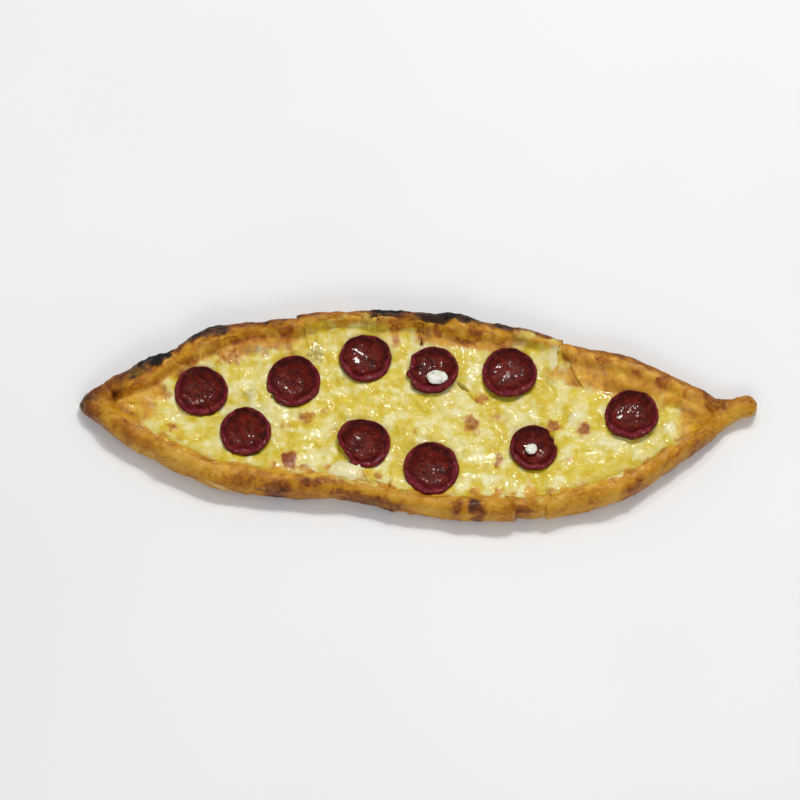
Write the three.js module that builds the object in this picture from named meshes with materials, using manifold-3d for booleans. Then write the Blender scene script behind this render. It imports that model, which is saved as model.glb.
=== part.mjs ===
// A boat-shaped flat bread: a folded dough rim round a flat base, filled with melted cheese, topped with
// curled slices of cured sausage, and cut into eight wedges by a zigzag of wheel cuts.
// Millimetres. X runs along the bread from the blunt tip to the twisted tail, +Y is the far side, +Z is up.
import * as THREE from "three";
import { mergeVertices } from "three/addons/utils/BufferGeometryUtils.js";
import Module from "manifold-3d";

const wasm = await Module();
wasm.setup();

// Driving dimensions
const LENGTH = 380;
const HALF_LENGTH = LENGTH / 2;
const BASE_THICKNESS = 4.5;
const CHEESE_LEVEL = 9.6;
const NEAR_CLIMB = 2.4;
const FAR_CLIMB = 4.4;
const CLIMB_REACH = 9;
const CHEESE_FADE = 2.2;
const SAUSAGE_RADIUS = 15.2;
const SAUSAGE_THICKNESS = 3.4;
const CUT_WIDTH = 0.5;
const CLEARANCE = 0.35;

// The outline seen from above and the rim, each as [x, value] points that a smooth line runs through
const FAR_EDGE = [
  [-183, 17.3], [-156, 29], [-116, 51.3], [-69, 59.3], [-15, 61.5], [25, 57.2], [66, 48.8],
  [90, 42.6], [106, 39.2], [127, 32.4], [147, 22.7], [158, 17.4], [169, 11], [182, 13.6],
];
const NEAR_EDGE = [
  [-183, -0.8], [-156, -21.8], [-130, -35.2], [-116, -42.2], [-100, -46.6], [-69, -48.4], [-42, -50],
  [5, -59], [25, -61.6], [45, -61.9], [60, -63.6], [70, -62.8], [82, -58.6], [106, -52.8], [126, -43.3],
  [139, -31.5], [147, -27], [158, -18.2], [169, -8.6], [182, 1.3],
];
const FAR_HEIGHT = [
  [-190, 14], [-150, 18], [-60, 18.5], [20, 18], [90, 17], [150, 15.5], [172, 12.5], [190, 13.4],
];
const NEAR_HEIGHT = [
  [-190, 14], [-150, 17], [-60, 16.5], [20, 15.5], [90, 17], [150, 16], [172, 12.5], [190, 13.4],
];
const FAR_WIDTH = [
  [-190, 13], [-140, 13.5], [-100, 10.5], [-60, 8.5], [0, 8], [22, 10], [60, 9], [110, 11], [150, 12], [190, 12],
];
const NEAR_WIDTH = [
  [-190, 16], [-140, 15.5], [-90, 14], [-30, 11], [50, 11], [110, 13], [150, 12.5], [190, 12],
];
const TIP_ROUND = 9;
const TAIL_ROUND = 6.8;
const TIP_SOLID = 11;
const TAIL_SOLID = 26;
const FOLD_DEPTH = 0.16;

// Lofting
const STATION_PITCH = 8;
const CAP_STATIONS = 4;
const RIM_ANGLES = [270, 228, 195, 165, 138, 112, 88, 60, 28, 0];
const RIM_SQUARENESS = 2.3;
const FLOOR_FILLET = 1.5;
const LUMP_HEIGHT = 0.75;
const RIM_PARTING = 0.15;

// Wheel cuts as plan points from the far side to the near side, where each runs out past the rim.
// A cut with a shared end stops in its neighbour.
const OVERRUN = 8;
const CUT_STEPS = 24;
const CUT_DEPTH = 40;
const CUTS = [
  { name: "A", points: [[-133.3, 39.3], [-122.1, 14.3], [-110.3, -10.7], [-96.3, -44.9]] },
  { name: "B", points: [[-71.6, 56.8], [-77.2, 33], [-84.5, 8.6], [-88, -28.8], [-89.5, -44.9]] },
  { name: "C", points: [[-67.1, 59.3], [-60.3, 35.5], [-46.9, -7], [-31.7, -35.1], [-14.5, -54]] },
  {
    name: "D",
    points: [[2.5, 60.5], [1.4, 46.1], [-4.8, 22.4], [-9.8, -13.8], [-18.2, -50.2]],
    sharedNearEnd: true,
  },
  {
    name: "E",
    points: [[1.4, 45], [17.7, 24.2], [32.3, 9.9], [39.6, -12.6], [44.1, -35.7], [52.5, -61]],
    sharedFarEnd: true,
  },
  { name: "F", points: [[80.5, 46.8], [78.9, 23], [77.2, -10.1], [73, -35.7], [71.6, -60]] },
  {
    name: "G",
    points: [[80.2, 41], [89, 24.3], [100.8, 8.6], [115.9, -16.3], [131.6, -38]],
    sharedFarEnd: true,
  },
];
// How far each wedge was pushed by the cutter, left to right
const WEDGE_SHIFTS = [
  [0, 0], [0, 0], [0, -0.6], [-0.5, 1.2], [0, -0.9], [-0.4, 1.6], [-0.4, -0.5], [-0.4, -0.7],
];

// Sausage slices: plan place, size share, and how they tilt and curl, in degrees and millimetres
const SLICES = [
  { x: -122.1, y: 14.3, size: 1.0, tiltX: 2, tiltY: 3, curl: 0.3, split: true },
  { x: -96.3, y: -10.7, size: 0.95, tiltX: 4, tiltY: -2, curl: 0.5 },
  { x: -69.9, y: 20.5, size: 1.0, tiltX: 3, tiltY: -3, curl: 0.6 },
  { x: -30.0, y: 35.3, size: 0.97, tiltX: 2, tiltY: 2, curl: 0.4 },
  { x: -31.2, y: -17.6, size: 0.98, tiltX: 4, tiltY: 3, curl: 0.5 },
  { x: 8.1, y: 26.7, size: 0.97, tiltX: -2, tiltY: -4, curl: 0.7 },
  { x: 7.0, y: -33.2, size: 1.03, tiltX: 5, tiltY: 2, curl: 0.3 },
  { x: 50.8, y: 24.9, size: 1.03, tiltX: -1, tiltY: 0, curl: 0.3 },
  { x: 63.7, y: -20.8, size: 0.88, tiltX: 3, tiltY: 3, curl: 0.6 },
  { x: 119.2, y: -1.4, size: 1.0, tiltX: -3, tiltY: -3, curl: 0.5 },
];
const SLICE_SINK = 1.7;
const SLICE_SEGMENTS = 20;

// Drops of fresh cheese that lie in two of the slices
const DROPS = [
  { name: "cheese_drop_1", slice: 5, dx: 3.2, dy: -4.6, rx: 6.2, ry: 4.6, height: 2.4 },
  { name: "cheese_drop_2", slice: 8, dx: -1.2, dy: -0.8, rx: 3.4, ry: 3.2, height: 1.9 },
];

// Raised places: the charred blister and browned knuckles of the rim, and lumps in the cheese
const RIM_BLISTERS = [
  { x: 23, side: 1, height: 3, reach: 9 },
  { x: -24, side: 1, height: 1.2, reach: 12 },
  { x: -152, side: 1, height: 2.4, reach: 7 },
  { x: -120, side: 1, height: 1.4, reach: 10 },
  { x: -165, side: -1, height: 1.2, reach: 12 },
  { x: -48, side: -1, height: 1.4, reach: 8 },
  { x: 42, side: -1, height: 1.2, reach: 7 },
  { x: 112, side: -1, height: 1.1, reach: 10 },
];
const CHEESE_LUMPS = [
  { x: -40, y: -34, rx: 10, ry: 6, height: 2.6 },
  { x: -106, y: 0, rx: 9, ry: 9, height: 1.0 },
  { x: 32, y: -28, rx: 12, ry: 14, height: 1.1 },
  { x: 28, y: -46, rx: 8, ry: 4, height: 1.2 },
  { x: 90, y: -5, rx: 10, ry: 12, height: 1.2 },
  { x: 142, y: -2, rx: 7, ry: 5, height: 1.6 },
  { x: -50, y: 30, rx: 7, ry: 9, height: 1.0 },
];

const smoothStep = (t) => {
  const s = THREE.MathUtils.clamp(t, 0, 1);
  return s * s * (3 - 2 * s);
};

// The value at x of a smooth line through [x, value] points
function along(points, x) {
  const last = points.length - 1;
  if (x <= points[0][0]) return points[0][1];
  if (x >= points[last][0]) return points[last][1];
  const i = points.findIndex((p, k) => k < last && x < points[k + 1][0]);
  const slope = (k) => {
    const a = points[Math.max(k - 1, 0)];
    const b = points[Math.min(k + 1, last)];
    return (b[1] - a[1]) / (b[0] - a[0]);
  };
  const [x0, v0] = points[i];
  const [x1, v1] = points[i + 1];
  const span = x1 - x0;
  const t = (x - x0) / span;
  const bend0 = (2 * t ** 3 - 3 * t ** 2 + 1) * v0 + (t ** 3 - 2 * t ** 2 + t) * span * slope(i);
  const bend1 = (3 * t ** 2 - 2 * t ** 3) * v1 + (t ** 3 - t ** 2) * span * slope(i + 1);
  return bend0 + bend1;
}

// How much of the full width is left inside the rounded ends
function endShare(x) {
  const fromTip = x + HALF_LENGTH;
  const fromTail = HALF_LENGTH - x;
  const round = (distance, radius) =>
    distance >= radius ? 1 : Math.sqrt(Math.max(1 - ((radius - distance) / radius) ** 2, 0.01));
  return round(fromTip, TIP_ROUND) * round(fromTail, TAIL_ROUND);
}

// Plan outline and rim sizes at one station
function stationAt(x) {
  const centre = (along(FAR_EDGE, x) + along(NEAR_EDGE, x)) / 2;
  const half = ((along(FAR_EDGE, x) - along(NEAR_EDGE, x)) / 2) * endShare(x);
  const nearWidth = Math.min(along(NEAR_WIDTH, x), half);
  const farWidth = Math.min(along(FAR_WIDTH, x), half);
  const meeting = centre - half + nearWidth + (2 * half - nearWidth - farWidth) / 2;
  return {
    near: centre - half,
    far: centre + half,
    meeting,
    nearWidth,
    farWidth,
    open: smoothStep((2 * half - nearWidth - farWidth - 2) / 12),
    solid: Math.max(
      1 - smoothStep((x + HALF_LENGTH) / TIP_SOLID - 0.3),
      1 - smoothStep((HALF_LENGTH - x) / TAIL_SOLID - 0.15),
    ),
    nearHeight: along(NEAR_HEIGHT, x) * (0.35 + 0.65 * endShare(x)),
    farHeight: along(FAR_HEIGHT, x) * (0.35 + 0.65 * endShare(x)),
  };
}

// The uneven swelling of baked dough
function doughLump(x, angle, side) {
  const slow = Math.sin(x / 9.1 + side * 2.1 + Math.cos(angle) * 0.9);
  const quick = Math.sin(x / 4.3 - side + Math.sin(angle) * 1.7);
  const blister = RIM_BLISTERS.filter((b) => b.side === side)
    .map((b) => b.height * Math.exp(-(((x - b.x) / b.reach) ** 4)))
    .reduce((sum, height) => sum + height, 0);
  const upper = smoothStep((Math.sin(angle) + 0.6) / 1.2);
  return (LUMP_HEIGHT * (0.7 * slow + 0.4 * quick) + blister) * upper;
}

// One rim's section: a full round that starts underneath, goes over the top and ends on its inner side,
// held off the other rim and above the floor between them
function rimSection(x, station, side, grow, floor) {
  const width = side < 0 ? station.nearWidth : station.farWidth;
  const height = side < 0 ? station.nearHeight : station.farHeight;
  const outer = side < 0 ? station.near : station.far;
  const centre = outer - (side * width) / 2;
  return RIM_ANGLES.map((degrees) => {
    const angle = THREE.MathUtils.degToRad(degrees);
    const lump = doughLump(x, angle, side);
    const c = Math.cos(angle);
    const s = Math.sin(angle);
    const across = Math.sign(c) * Math.abs(c) ** (2 / RIM_SQUARENESS);
    const up = Math.sign(s) * Math.abs(s) ** (2 / RIM_SQUARENESS);
    const y = centre - side * across * (width / 2 + grow) - side * c * lump;
    const z = height / 2 + up * (height / 2 + grow) + s * lump;
    const gapToMeeting = side * (y - station.meeting);
    const held = station.meeting + side * Math.max(gapToMeeting, RIM_PARTING);
    return [held, c > 0 ? Math.max(z, floor) : z];
  });
}

// The closed section of the bread at one station, from under the near rim over the top to under the far rim.
// At both ends it turns into one plain round.
function crustSection(x, grow) {
  const station = stationAt(x);
  const lowRim = Math.min(station.nearHeight, station.farHeight);
  const floor = THREE.MathUtils.lerp(lowRim * (1 - FOLD_DEPTH), BASE_THICKNESS, station.open) + grow;
  const near = rimSection(x, station, -1, grow, floor);
  const far = rimSection(x, station, 1, grow, floor).reverse();
  const nearFoot = near[near.length - 1][0] + FLOOR_FILLET * station.open;
  const farFoot = far[0][0] - FLOOR_FILLET * station.open;
  const floorPoints = [0.1, 0.36, 0.64, 0.9].map((t) => [THREE.MathUtils.lerp(nearFoot, farFoot, t), floor]);
  const over = [...near, ...floorPoints, ...far];
  const round = roundSection(station, over.length, grow);
  const blended = over.map(([y, z], i) => [
    THREE.MathUtils.lerp(y, round[i][0], station.solid), THREE.MathUtils.lerp(z, round[i][1], station.solid)]);
  const [nearUnder, farUnder] = [blended[0], blended[blended.length - 1]];
  const under = [0.67, 0.33].map((t) => [THREE.MathUtils.lerp(nearUnder[0], farUnder[0], t), -grow]);
  return [...blended, ...under];
}

function roundSection(station, count, grow) {
  const centre = (station.near + station.far) / 2;
  const half = (station.far - station.near) / 2 + grow;
  const height = (station.nearHeight + station.farHeight) / 2;
  return Array.from({ length: count }, (_, i) => {
    const angle = THREE.MathUtils.degToRad(THREE.MathUtils.lerp(245, -65, i / (count - 1)));
    const z = height / 2 + Math.sin(angle) * (height / 2 + grow);
    return [centre + half * Math.cos(angle), i === 0 || i === count - 1 ? -grow : z];
  });
}

function stations() {
  const round = (radius, sign) =>
    Array.from({ length: CAP_STATIONS }, (_, k) => {
      const turn = ((k + 0.25) / CAP_STATIONS) * (Math.PI / 2);
      return sign * (HALF_LENGTH - radius * (1 - Math.cos(turn)));
    });
  const start = -HALF_LENGTH + TIP_ROUND;
  const end = HALF_LENGTH - TAIL_ROUND;
  const count = Math.round((end - start) / STATION_PITCH);
  const middle = Array.from({ length: count + 1 }, (_, k) => start + ((end - start) * k) / count);
  return [...round(TIP_ROUND, -1), ...middle, ...round(TAIL_ROUND, 1).reverse()];
}

// A closed solid through equal closed sections, [y, z] points at each x
function loft(places, sectionAt) {
  const sections = places.map(sectionAt);
  const n = sections[0].length;
  const positions = sections.flatMap((section, k) => section.flatMap(([y, z]) => [places[k], y, z]));
  const index = [];
  for (let k = 0; k + 1 < places.length; k++) {
    for (let i = 0; i < n; i++) {
      const a = k * n + i;
      const b = k * n + ((i + 1) % n);
      index.push(a, b, a + n, b, b + n, a + n);
    }
  }
  // Each end is a fan round the middle of its section
  const cap = (k, flip) => {
    const hub = positions.length / 3;
    const middle = (axis) => sections[k].reduce((sum, point) => sum + point[axis], 0) / n;
    positions.push(places[k], middle(0), middle(1));
    for (let i = 0; i < n; i++) {
      const a = k * n + i;
      const b = k * n + ((i + 1) % n);
      index.push(hub, flip ? b : a, flip ? a : b);
    }
  };
  cap(0, true);
  cap(places.length - 1, false);
  const geometry = new THREE.BufferGeometry();
  geometry.setAttribute("position", new THREE.Float32BufferAttribute(positions, 3));
  geometry.setIndex(index);
  return geometry;
}

function solidFrom(geometry) {
  const bare = geometry.clone();
  bare.deleteAttribute("normal");
  bare.deleteAttribute("uv");
  const merged = mergeVertices(bare, 1e-4);
  const mesh = new wasm.Mesh({
    numProp: 3,
    vertProperties: new Float32Array(merged.attributes.position.array),
    triVerts: new Uint32Array(merged.index.array),
  });
  const solid = new wasm.Manifold(mesh);
  if (solid.volume() > 0) return solid;
  mesh.triVerts = mesh.triVerts.map((v, i, all) => (i % 3 === 1 ? all[i + 1] : i % 3 === 2 ? all[i - 1] : v));
  return new wasm.Manifold(mesh);
}

function geometryFrom(solid) {
  const mesh = solid.getMesh();
  const geometry = new THREE.BufferGeometry();
  geometry.setAttribute("position", new THREE.Float32BufferAttribute(mesh.vertProperties, 3));
  geometry.setIndex(new THREE.BufferAttribute(mesh.triVerts, 1));
  geometry.computeVertexNormals();
  return geometry;
}

const placed = (geometry, matrix) => solidFrom(geometry.clone().applyMatrix4(matrix));

// Cheese fills the trough, climbs a little up the near rim and nearly to the crest of the far one
function cheeseHeight(x, y, station) {
  const toNear = y - station.near - station.nearWidth;
  const toFar = station.far - station.farWidth - y;
  const nearClimb = NEAR_CLIMB * (1 - smoothStep(toNear / CLIMB_REACH));
  const farClimb = FAR_CLIMB * (1 - smoothStep(toFar / CLIMB_REACH));
  const climb = station.open * (nearClimb + farClimb);
  const fade = CHEESE_FADE * (1 - station.open);
  const ripple = 0.45 * Math.sin(x / 6.7 + y / 11) * Math.sin(y / 5.9 - x / 17) + 0.3 * Math.sin(x / 3.4 + y / 4.1);
  const lumps = CHEESE_LUMPS.reduce(
    (sum, b) => sum + b.height * Math.exp(-(((x - b.x) / b.rx) ** 2) - ((y - b.y) / b.ry) ** 2), 0);
  return CHEESE_LEVEL + climb - fade + ripple + lumps;
}

const CHEESE_COLUMNS = 10;
function cheeseSection(x) {
  const station = stationAt(x);
  const near = station.near + station.nearWidth * 0.5;
  const far = station.far - station.farWidth * 0.5;
  const top = Array.from({ length: CHEESE_COLUMNS }, (_, k) => {
    const y = THREE.MathUtils.lerp(near, far, k / (CHEESE_COLUMNS - 1));
    return [y, cheeseHeight(x, y, station)];
  });
  return [...top, [far, BASE_THICKNESS - 1], [near, BASE_THICKNESS - 1]];
}

// A wheel cut as a thin upright wall along its curve
function blade(cut) {
  const points = cut.points.map(([x, y]) => new THREE.Vector2(x, y));
  const beyond = (end, before) => end.clone().sub(before).setLength(OVERRUN).add(end);
  const last = points.length - 1;
  const route = [...points];
  if (!cut.sharedFarEnd) route.unshift(beyond(points[0], points[1]));
  if (!cut.sharedNearEnd) route.push(beyond(points[last], points[last - 1]));
  const line = new THREE.SplineCurve(route).getPoints(CUT_STEPS);
  const sideAt = (k, sign) => {
    const ahead = line[Math.min(k + 1, line.length - 1)];
    const behind = line[Math.max(k - 1, 0)];
    const across = ahead.clone().sub(behind).normalize().rotateAround(new THREE.Vector2(), Math.PI / 2);
    return line[k].clone().addScaledVector(across, (sign * CUT_WIDTH) / 2);
  };
  const left = line.map((_, k) => sideAt(k, 1));
  const right = line.map((_, k) => sideAt(k, -1)).reverse();
  const outline = new THREE.Shape([...left, ...right]);
  const wall = new THREE.ExtrudeGeometry(outline, { depth: CUT_DEPTH, bevelEnabled: false });
  wall.translate(0, 0, -CUT_DEPTH / 4);
  return solidFrom(wall);
}

// The wedges of a cut solid from left to right, without loose scraps
function wedges(solid) {
  const middleX = (part) => {
    const { vertProperties, numVert } = part.getMesh();
    return vertProperties.reduce((sum, v, i) => (i % 3 ? sum : sum + v), 0) / numVert;
  };
  return BLADES.reduce((left, wall) => left.subtract(wall), solid)
    .decompose()
    .sort((a, b) => b.volume() - a.volume())
    .slice(0, WEDGE_SHIFTS.length)
    .sort((a, b) => middleX(a) - middleX(b));
}

// A sausage slice: a disc whose middle sank and whose edge curled up as it roasted
function sliceProfile(radius) {
  const t = SAUSAGE_THICKNESS;
  const under = [[0, 0], [radius * 0.62, 0.25], [radius * 0.95, 1.5]];
  const rim = [[radius, 2.6], [radius * 0.985, t + 1.3], [radius * 0.9, t + 1.75], [radius * 0.78, t + 0.9]];
  return [...under, ...rim, [radius * 0.5, t - 0.75], [0, t - 0.95]].map(([r, z]) => new THREE.Vector2(r, z));
}

function pocketProfile(radius) {
  const wide = radius + CLEARANCE;
  const sunk = [[0, -CLEARANCE], [wide * 0.62, 0.25 - CLEARANCE], [wide * 0.95, 1.5 - CLEARANCE], [wide, 2.4]];
  return [...sunk, [wide, 14], [0, 14]].map(([r, z]) => new THREE.Vector2(r, z));
}

function turned(profile, slice, wobble) {
  const lathe = new THREE.LatheGeometry(profile, SLICE_SEGMENTS);
  lathe.rotateX(Math.PI / 2);
  const place = lathe.attributes.position;
  for (let i = 0; i < place.count; i++) {
    const x = place.getX(i);
    const y = place.getY(i);
    const turn = Math.atan2(y, x);
    const share = Math.hypot(x, y) / (SAUSAGE_RADIUS * slice.size);
    const swell = 1 + wobble * (0.022 * Math.sin(2 * turn + slice.x) + 0.014 * Math.sin(5 * turn + slice.y));
    const lift = slice.curl * Math.sin(2 * turn + slice.y / 9) * share ** 2;
    place.setXYZ(i, x * swell, y * swell, place.getZ(i) + lift);
  }
  return lathe;
}

function sliceMatrix(slice) {
  const seat = cheeseHeight(slice.x, slice.y, stationAt(slice.x)) - SLICE_SINK;
  const tilt = new THREE.Euler(
    THREE.MathUtils.degToRad(slice.tiltX), THREE.MathUtils.degToRad(slice.tiltY), 0);
  return new THREE.Matrix4()
    .makeRotationFromEuler(tilt)
    .setPosition(slice.x, slice.y, seat);
}

function dropSolid(drop) {
  const slice = SLICES[drop.slice];
  const dome = new THREE.SphereGeometry(1, 14, 8);
  dome.scale(drop.rx, drop.ry, drop.height);
  dome.translate(drop.dx, drop.dy, SAUSAGE_THICKNESS - 0.4);
  return placed(dome, sliceMatrix(slice)).subtract(grownSlice(slice));
}

// A slice made thicker all round by the clearance, to cut what lies in it
function grownSlice(slice) {
  const lifted = turned(sliceProfile(SAUSAGE_RADIUS * slice.size), slice, 1);
  const place = lifted.attributes.position;
  for (let i = 0; i < place.count; i++) {
    place.setZ(i, place.getZ(i) + (place.getZ(i) > 2 ? CLEARANCE : -CLEARANCE));
  }
  return placed(lifted, sliceMatrix(slice));
}

const finish = (name, color, roughness) =>
  new THREE.MeshStandardMaterial({ name, color, roughness, metalness: 0 });
const dough = finish("baked_dough", 0xc08a3c, 0.6);
const cheese = finish("melted_cheese", 0xd9c069, 0.35);
const sausage = finish("cured_sausage", 0x5c1410, 0.25);
const freshCheese = finish("fresh_cheese", 0xd6d2b4, 0.4);

function node(name, solid, material) {
  const mesh = new THREE.Mesh(geometryFrom(solid), material);
  mesh.name = name;
  return mesh;
}

const BLADES = CUTS.map(blade);
const places = stations();
const wholeCrust = solidFrom(loft(places, (x) => crustSection(x, 0)));
const grownCrust = solidFrom(loft(places, (x) => crustSection(x, CLEARANCE)));
const troughPlaces = places.filter((x) => stationAt(x).open > 0.05);
const wholeCheese = solidFrom(loft(troughPlaces, cheeseSection)).subtract(grownCrust);
const pockets = SLICES.map((slice) =>
  placed(turned(pocketProfile(SAUSAGE_RADIUS * slice.size), slice, 1), sliceMatrix(slice)));

const bread = new THREE.Group();
const crustWedges = wedges(wholeCrust);
const cheeseWedges = wedges(wholeCheese);

// One wedge with the seats of the slices pressed into it
function seated(solid, dx, dy) {
  const pressed = pockets.reduce((left, pocket) => left.subtract(pocket), solid.translate([dx, dy, 0]));
  const bodies = pressed.translate([-dx, -dy, 0]).decompose();
  return bodies.sort((a, b) => b.volume() - a.volume())[0];
}

WEDGE_SHIFTS.forEach(([dx, dy], k) => {
  const wedge = new THREE.Group();
  wedge.position.set(dx, dy, 0);
  wedge.add(node(`crust_${k + 1}`, seated(crustWedges[k], dx, dy), dough));
  wedge.add(node(`cheese_${k + 1}`, seated(cheeseWedges[k], dx, dy), cheese));
  bread.add(wedge);
});

SLICES.forEach((slice, k) => {
  const solid = placed(turned(sliceProfile(SAUSAGE_RADIUS * slice.size), slice, 1), sliceMatrix(slice));
  const halves = slice.split ? solid.subtract(BLADES[0]).decompose() : [solid];
  const names = slice.split ? [`sausage_${k + 1}_left`, `sausage_${k + 1}_right`] : [`sausage_${k + 1}`];
  halves
    .sort((a, b) => a.boundingBox().min[0] - b.boundingBox().min[0])
    .forEach((half, side) => bread.add(node(names[side], half, sausage)));
});
DROPS.forEach((drop) => bread.add(node(drop.name, dropSolid(drop), freshCheese)));

export default bread;
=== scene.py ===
# %% [markdown]
# # A boat-shaped flat bread with cheese and sausage
# The bread is a long boat of dough: a thin base, a rim folded up all round, and a tail twisted into a knob.
# It was filled with grated cheese and slices of cured sausage, baked very hot, and cut into eight wedges.
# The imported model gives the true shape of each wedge, of its cheese and of each slice. This lesson makes
# the surfaces of that shape: swollen and blistered dough, melted cheese with oil, and curled shiny slices.

import itertools
import math

import bmesh
import bpy
import numpy as np
from mathutils import Matrix, Vector
from mathutils.bvhtree import BVHTree


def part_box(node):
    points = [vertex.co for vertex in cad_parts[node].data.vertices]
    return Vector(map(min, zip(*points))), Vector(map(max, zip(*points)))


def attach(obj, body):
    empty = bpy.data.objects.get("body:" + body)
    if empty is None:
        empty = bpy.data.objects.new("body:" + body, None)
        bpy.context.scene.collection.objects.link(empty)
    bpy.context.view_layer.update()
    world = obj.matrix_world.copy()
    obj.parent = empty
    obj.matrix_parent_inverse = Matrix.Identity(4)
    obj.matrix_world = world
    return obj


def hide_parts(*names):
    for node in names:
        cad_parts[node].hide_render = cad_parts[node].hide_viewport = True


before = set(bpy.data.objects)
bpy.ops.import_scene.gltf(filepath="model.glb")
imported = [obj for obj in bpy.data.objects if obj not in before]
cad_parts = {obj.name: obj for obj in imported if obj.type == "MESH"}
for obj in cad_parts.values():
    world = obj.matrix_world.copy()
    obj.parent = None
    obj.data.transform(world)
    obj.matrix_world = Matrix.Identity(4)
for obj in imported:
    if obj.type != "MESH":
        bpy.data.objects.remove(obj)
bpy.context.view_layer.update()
MM = 0.001
WEDGES = range(1, 9)
SLICES = [name for name in sorted(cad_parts) if name.startswith("sausage")]
print("wedges:", len(WEDGES), "slices and halves:", len(SLICES))

# %% [markdown]
# ## The camera and the light
# The bread is seen from its near side and well above it, from far away, so that it hardly narrows with
# distance. The kitchen light is soft and comes from behind and above: it draws small bright glints on oil
# and leaves a soft shadow along the near side. Big area lamps give the soft light and aren't mirrored in
# the fat, and two small lamps beside them draw the glints. A plain pale floor carries the shadow.

# %% Camera
CAMERA_TILT = math.radians(64)
CAMERA_DISTANCE = 2.6
PICTURE_WIDTH = 800 * 0.5613 * MM
LOOK_AT = Vector((-10.4, 14.2, 0)) * MM

scene = bpy.context.scene
lens = bpy.data.cameras.new("camera")
lens.sensor_width = 36
lens.lens = 36 * CAMERA_DISTANCE / PICTURE_WIDTH
lens.clip_end = 20
camera = bpy.data.objects.new("camera", lens)
scene.collection.objects.link(camera)
from_target = Vector((0, -math.cos(CAMERA_TILT), math.sin(CAMERA_TILT)))
camera.location = LOOK_AT + from_target * CAMERA_DISTANCE
camera.rotation_euler = (math.pi / 2 - CAMERA_TILT, 0, 0)
scene.camera = camera
scene.view_settings.view_transform = "Standard"
print("lens", round(lens.lens), "mm at", CAMERA_DISTANCE, "m")


# %% Lights
def area_light(name, place, size, power, tint):
    lamp = bpy.data.lights.new(name, "AREA")
    lamp.shape = "RECTANGLE"
    lamp.size = size[0]
    lamp.size_y = size[1]
    lamp.energy = power
    lamp.color = tint
    holder = bpy.data.objects.new(name, lamp)
    holder.location = place
    holder.rotation_euler = (Vector(place) * -1).to_track_quat("-Z", "Y").to_euler()
    scene.collection.objects.link(holder)
    return holder


LAMP_TINT = (1.0, 0.985, 0.96)
window = area_light("window behind", (0.5, 0.9, 1.7), (0.5, 0.44), 10, LAMP_TINT)
window.visible_glossy = False
area_light("small lamp behind", (0.36, 0.86, 1.76), (0.17, 0.14), 8, LAMP_TINT)
area_light("second lamp behind", (-0.18, 1.0, 1.72), (0.11, 0.1), 3.5, LAMP_TINT)
near_fill = area_light("near fill", (0.1, -1.5, 1.2), (1.2, 0.6), 8.5, (1.0, 0.99, 0.97))
near_fill.visible_glossy = False
sky = bpy.data.worlds.new("room")
sky.use_nodes = True
sky.node_tree.nodes["Background"].inputs["Color"].default_value = (0.93, 0.95, 1.0, 1)
sky.node_tree.nodes["Background"].inputs["Strength"].default_value = 0.44
scene.world = sky
print("lamps", [lamp.name for lamp in bpy.data.lights])

# %% [markdown]
# ## Reading the frame
# Every field of colour and relief below needs to know where a point is on the bread: how far in from the
# outer edge, on the near rim or the far one, and whether it lies on a cut. The outline is read from the
# corners of the crust solids. The cuts are their only upright flat walls, so faces with a level normal show
# where they are.

# %% Outline of the bread
OUTLINE_STEP = 8 * MM


def cad_corners(node):
    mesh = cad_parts[node].data
    flat = np.empty(len(mesh.vertices) * 3, dtype=np.float32)
    mesh.vertices.foreach_get("co", flat)
    return flat.reshape(-1, 3).astype(float)


crust_corners = np.vstack([cad_corners(f"crust_{k}") for k in WEDGES])
LEFT_END = crust_corners[:, 0].min()
RIGHT_END = crust_corners[:, 0].max()
outline_x = np.arange(LEFT_END, RIGHT_END + OUTLINE_STEP, OUTLINE_STEP / 2)
strips = [crust_corners[np.abs(crust_corners[:, 0] - x) < OUTLINE_STEP, 1] for x in outline_x]
near_line = np.array([strip.min() for strip in strips])
far_line = np.array([strip.max() for strip in strips])


def rim_place(points):
    """Distance in from the nearer long edge, and the side: -1 on the near half, 1 on the far half."""
    from_near = points[:, 1] - np.interp(points[:, 0], outline_x, near_line)
    from_far = np.interp(points[:, 0], outline_x, far_line) - points[:, 1]
    return np.minimum(from_near, from_far), np.where(from_near < from_far, -1.0, 1.0)


print("outline", len(outline_x), "stations, width", round((far_line - near_line).max() / MM), "mm")


# %% Distances to cuts and neighbours
# A gap between wedges narrower than the first has closed again, and one wider than the second stays open
HEAL_BELOW = 1.9 * MM
OPEN_ABOVE = 2.2 * MM
# How far a healed wall is pushed past the middle of its gap
OVERLAP = 0.9 * MM
# A face whose normal has a smaller height than this stands upright
UPRIGHT = 0.002


def step(values, start, end):
    """0 before start, 1 after end, and a smooth change between them."""
    t = np.clip((values - start) / (end - start), 0, 1)
    return t * t * (3 - 2 * t)


def solid_tree(nodes, upright_only=False):
    """A search tree of the faces of CAD nodes, or of their upright cut walls alone."""
    corners = []
    faces = []
    for node in nodes:
        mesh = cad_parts[node].data
        start = len(corners)
        corners += [v.co.copy() for v in mesh.vertices]
        for face in mesh.polygons:
            if not upright_only or abs(face.normal.z) < UPRIGHT:
                faces.append([start + i for i in face.vertices])
    return BVHTree.FromPolygons(corners, faces)


def other_wedges(k):
    nodes = [f"{kind}_{other}" for kind in ("crust", "cheese") for other in WEDGES if other != k]
    return solid_tree(nodes)


def distances(points, tree):
    found = (tree.find_nearest(point) for point in points)
    return np.array([hit[3] if hit[3] is not None else 1.0 for hit in found])


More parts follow.
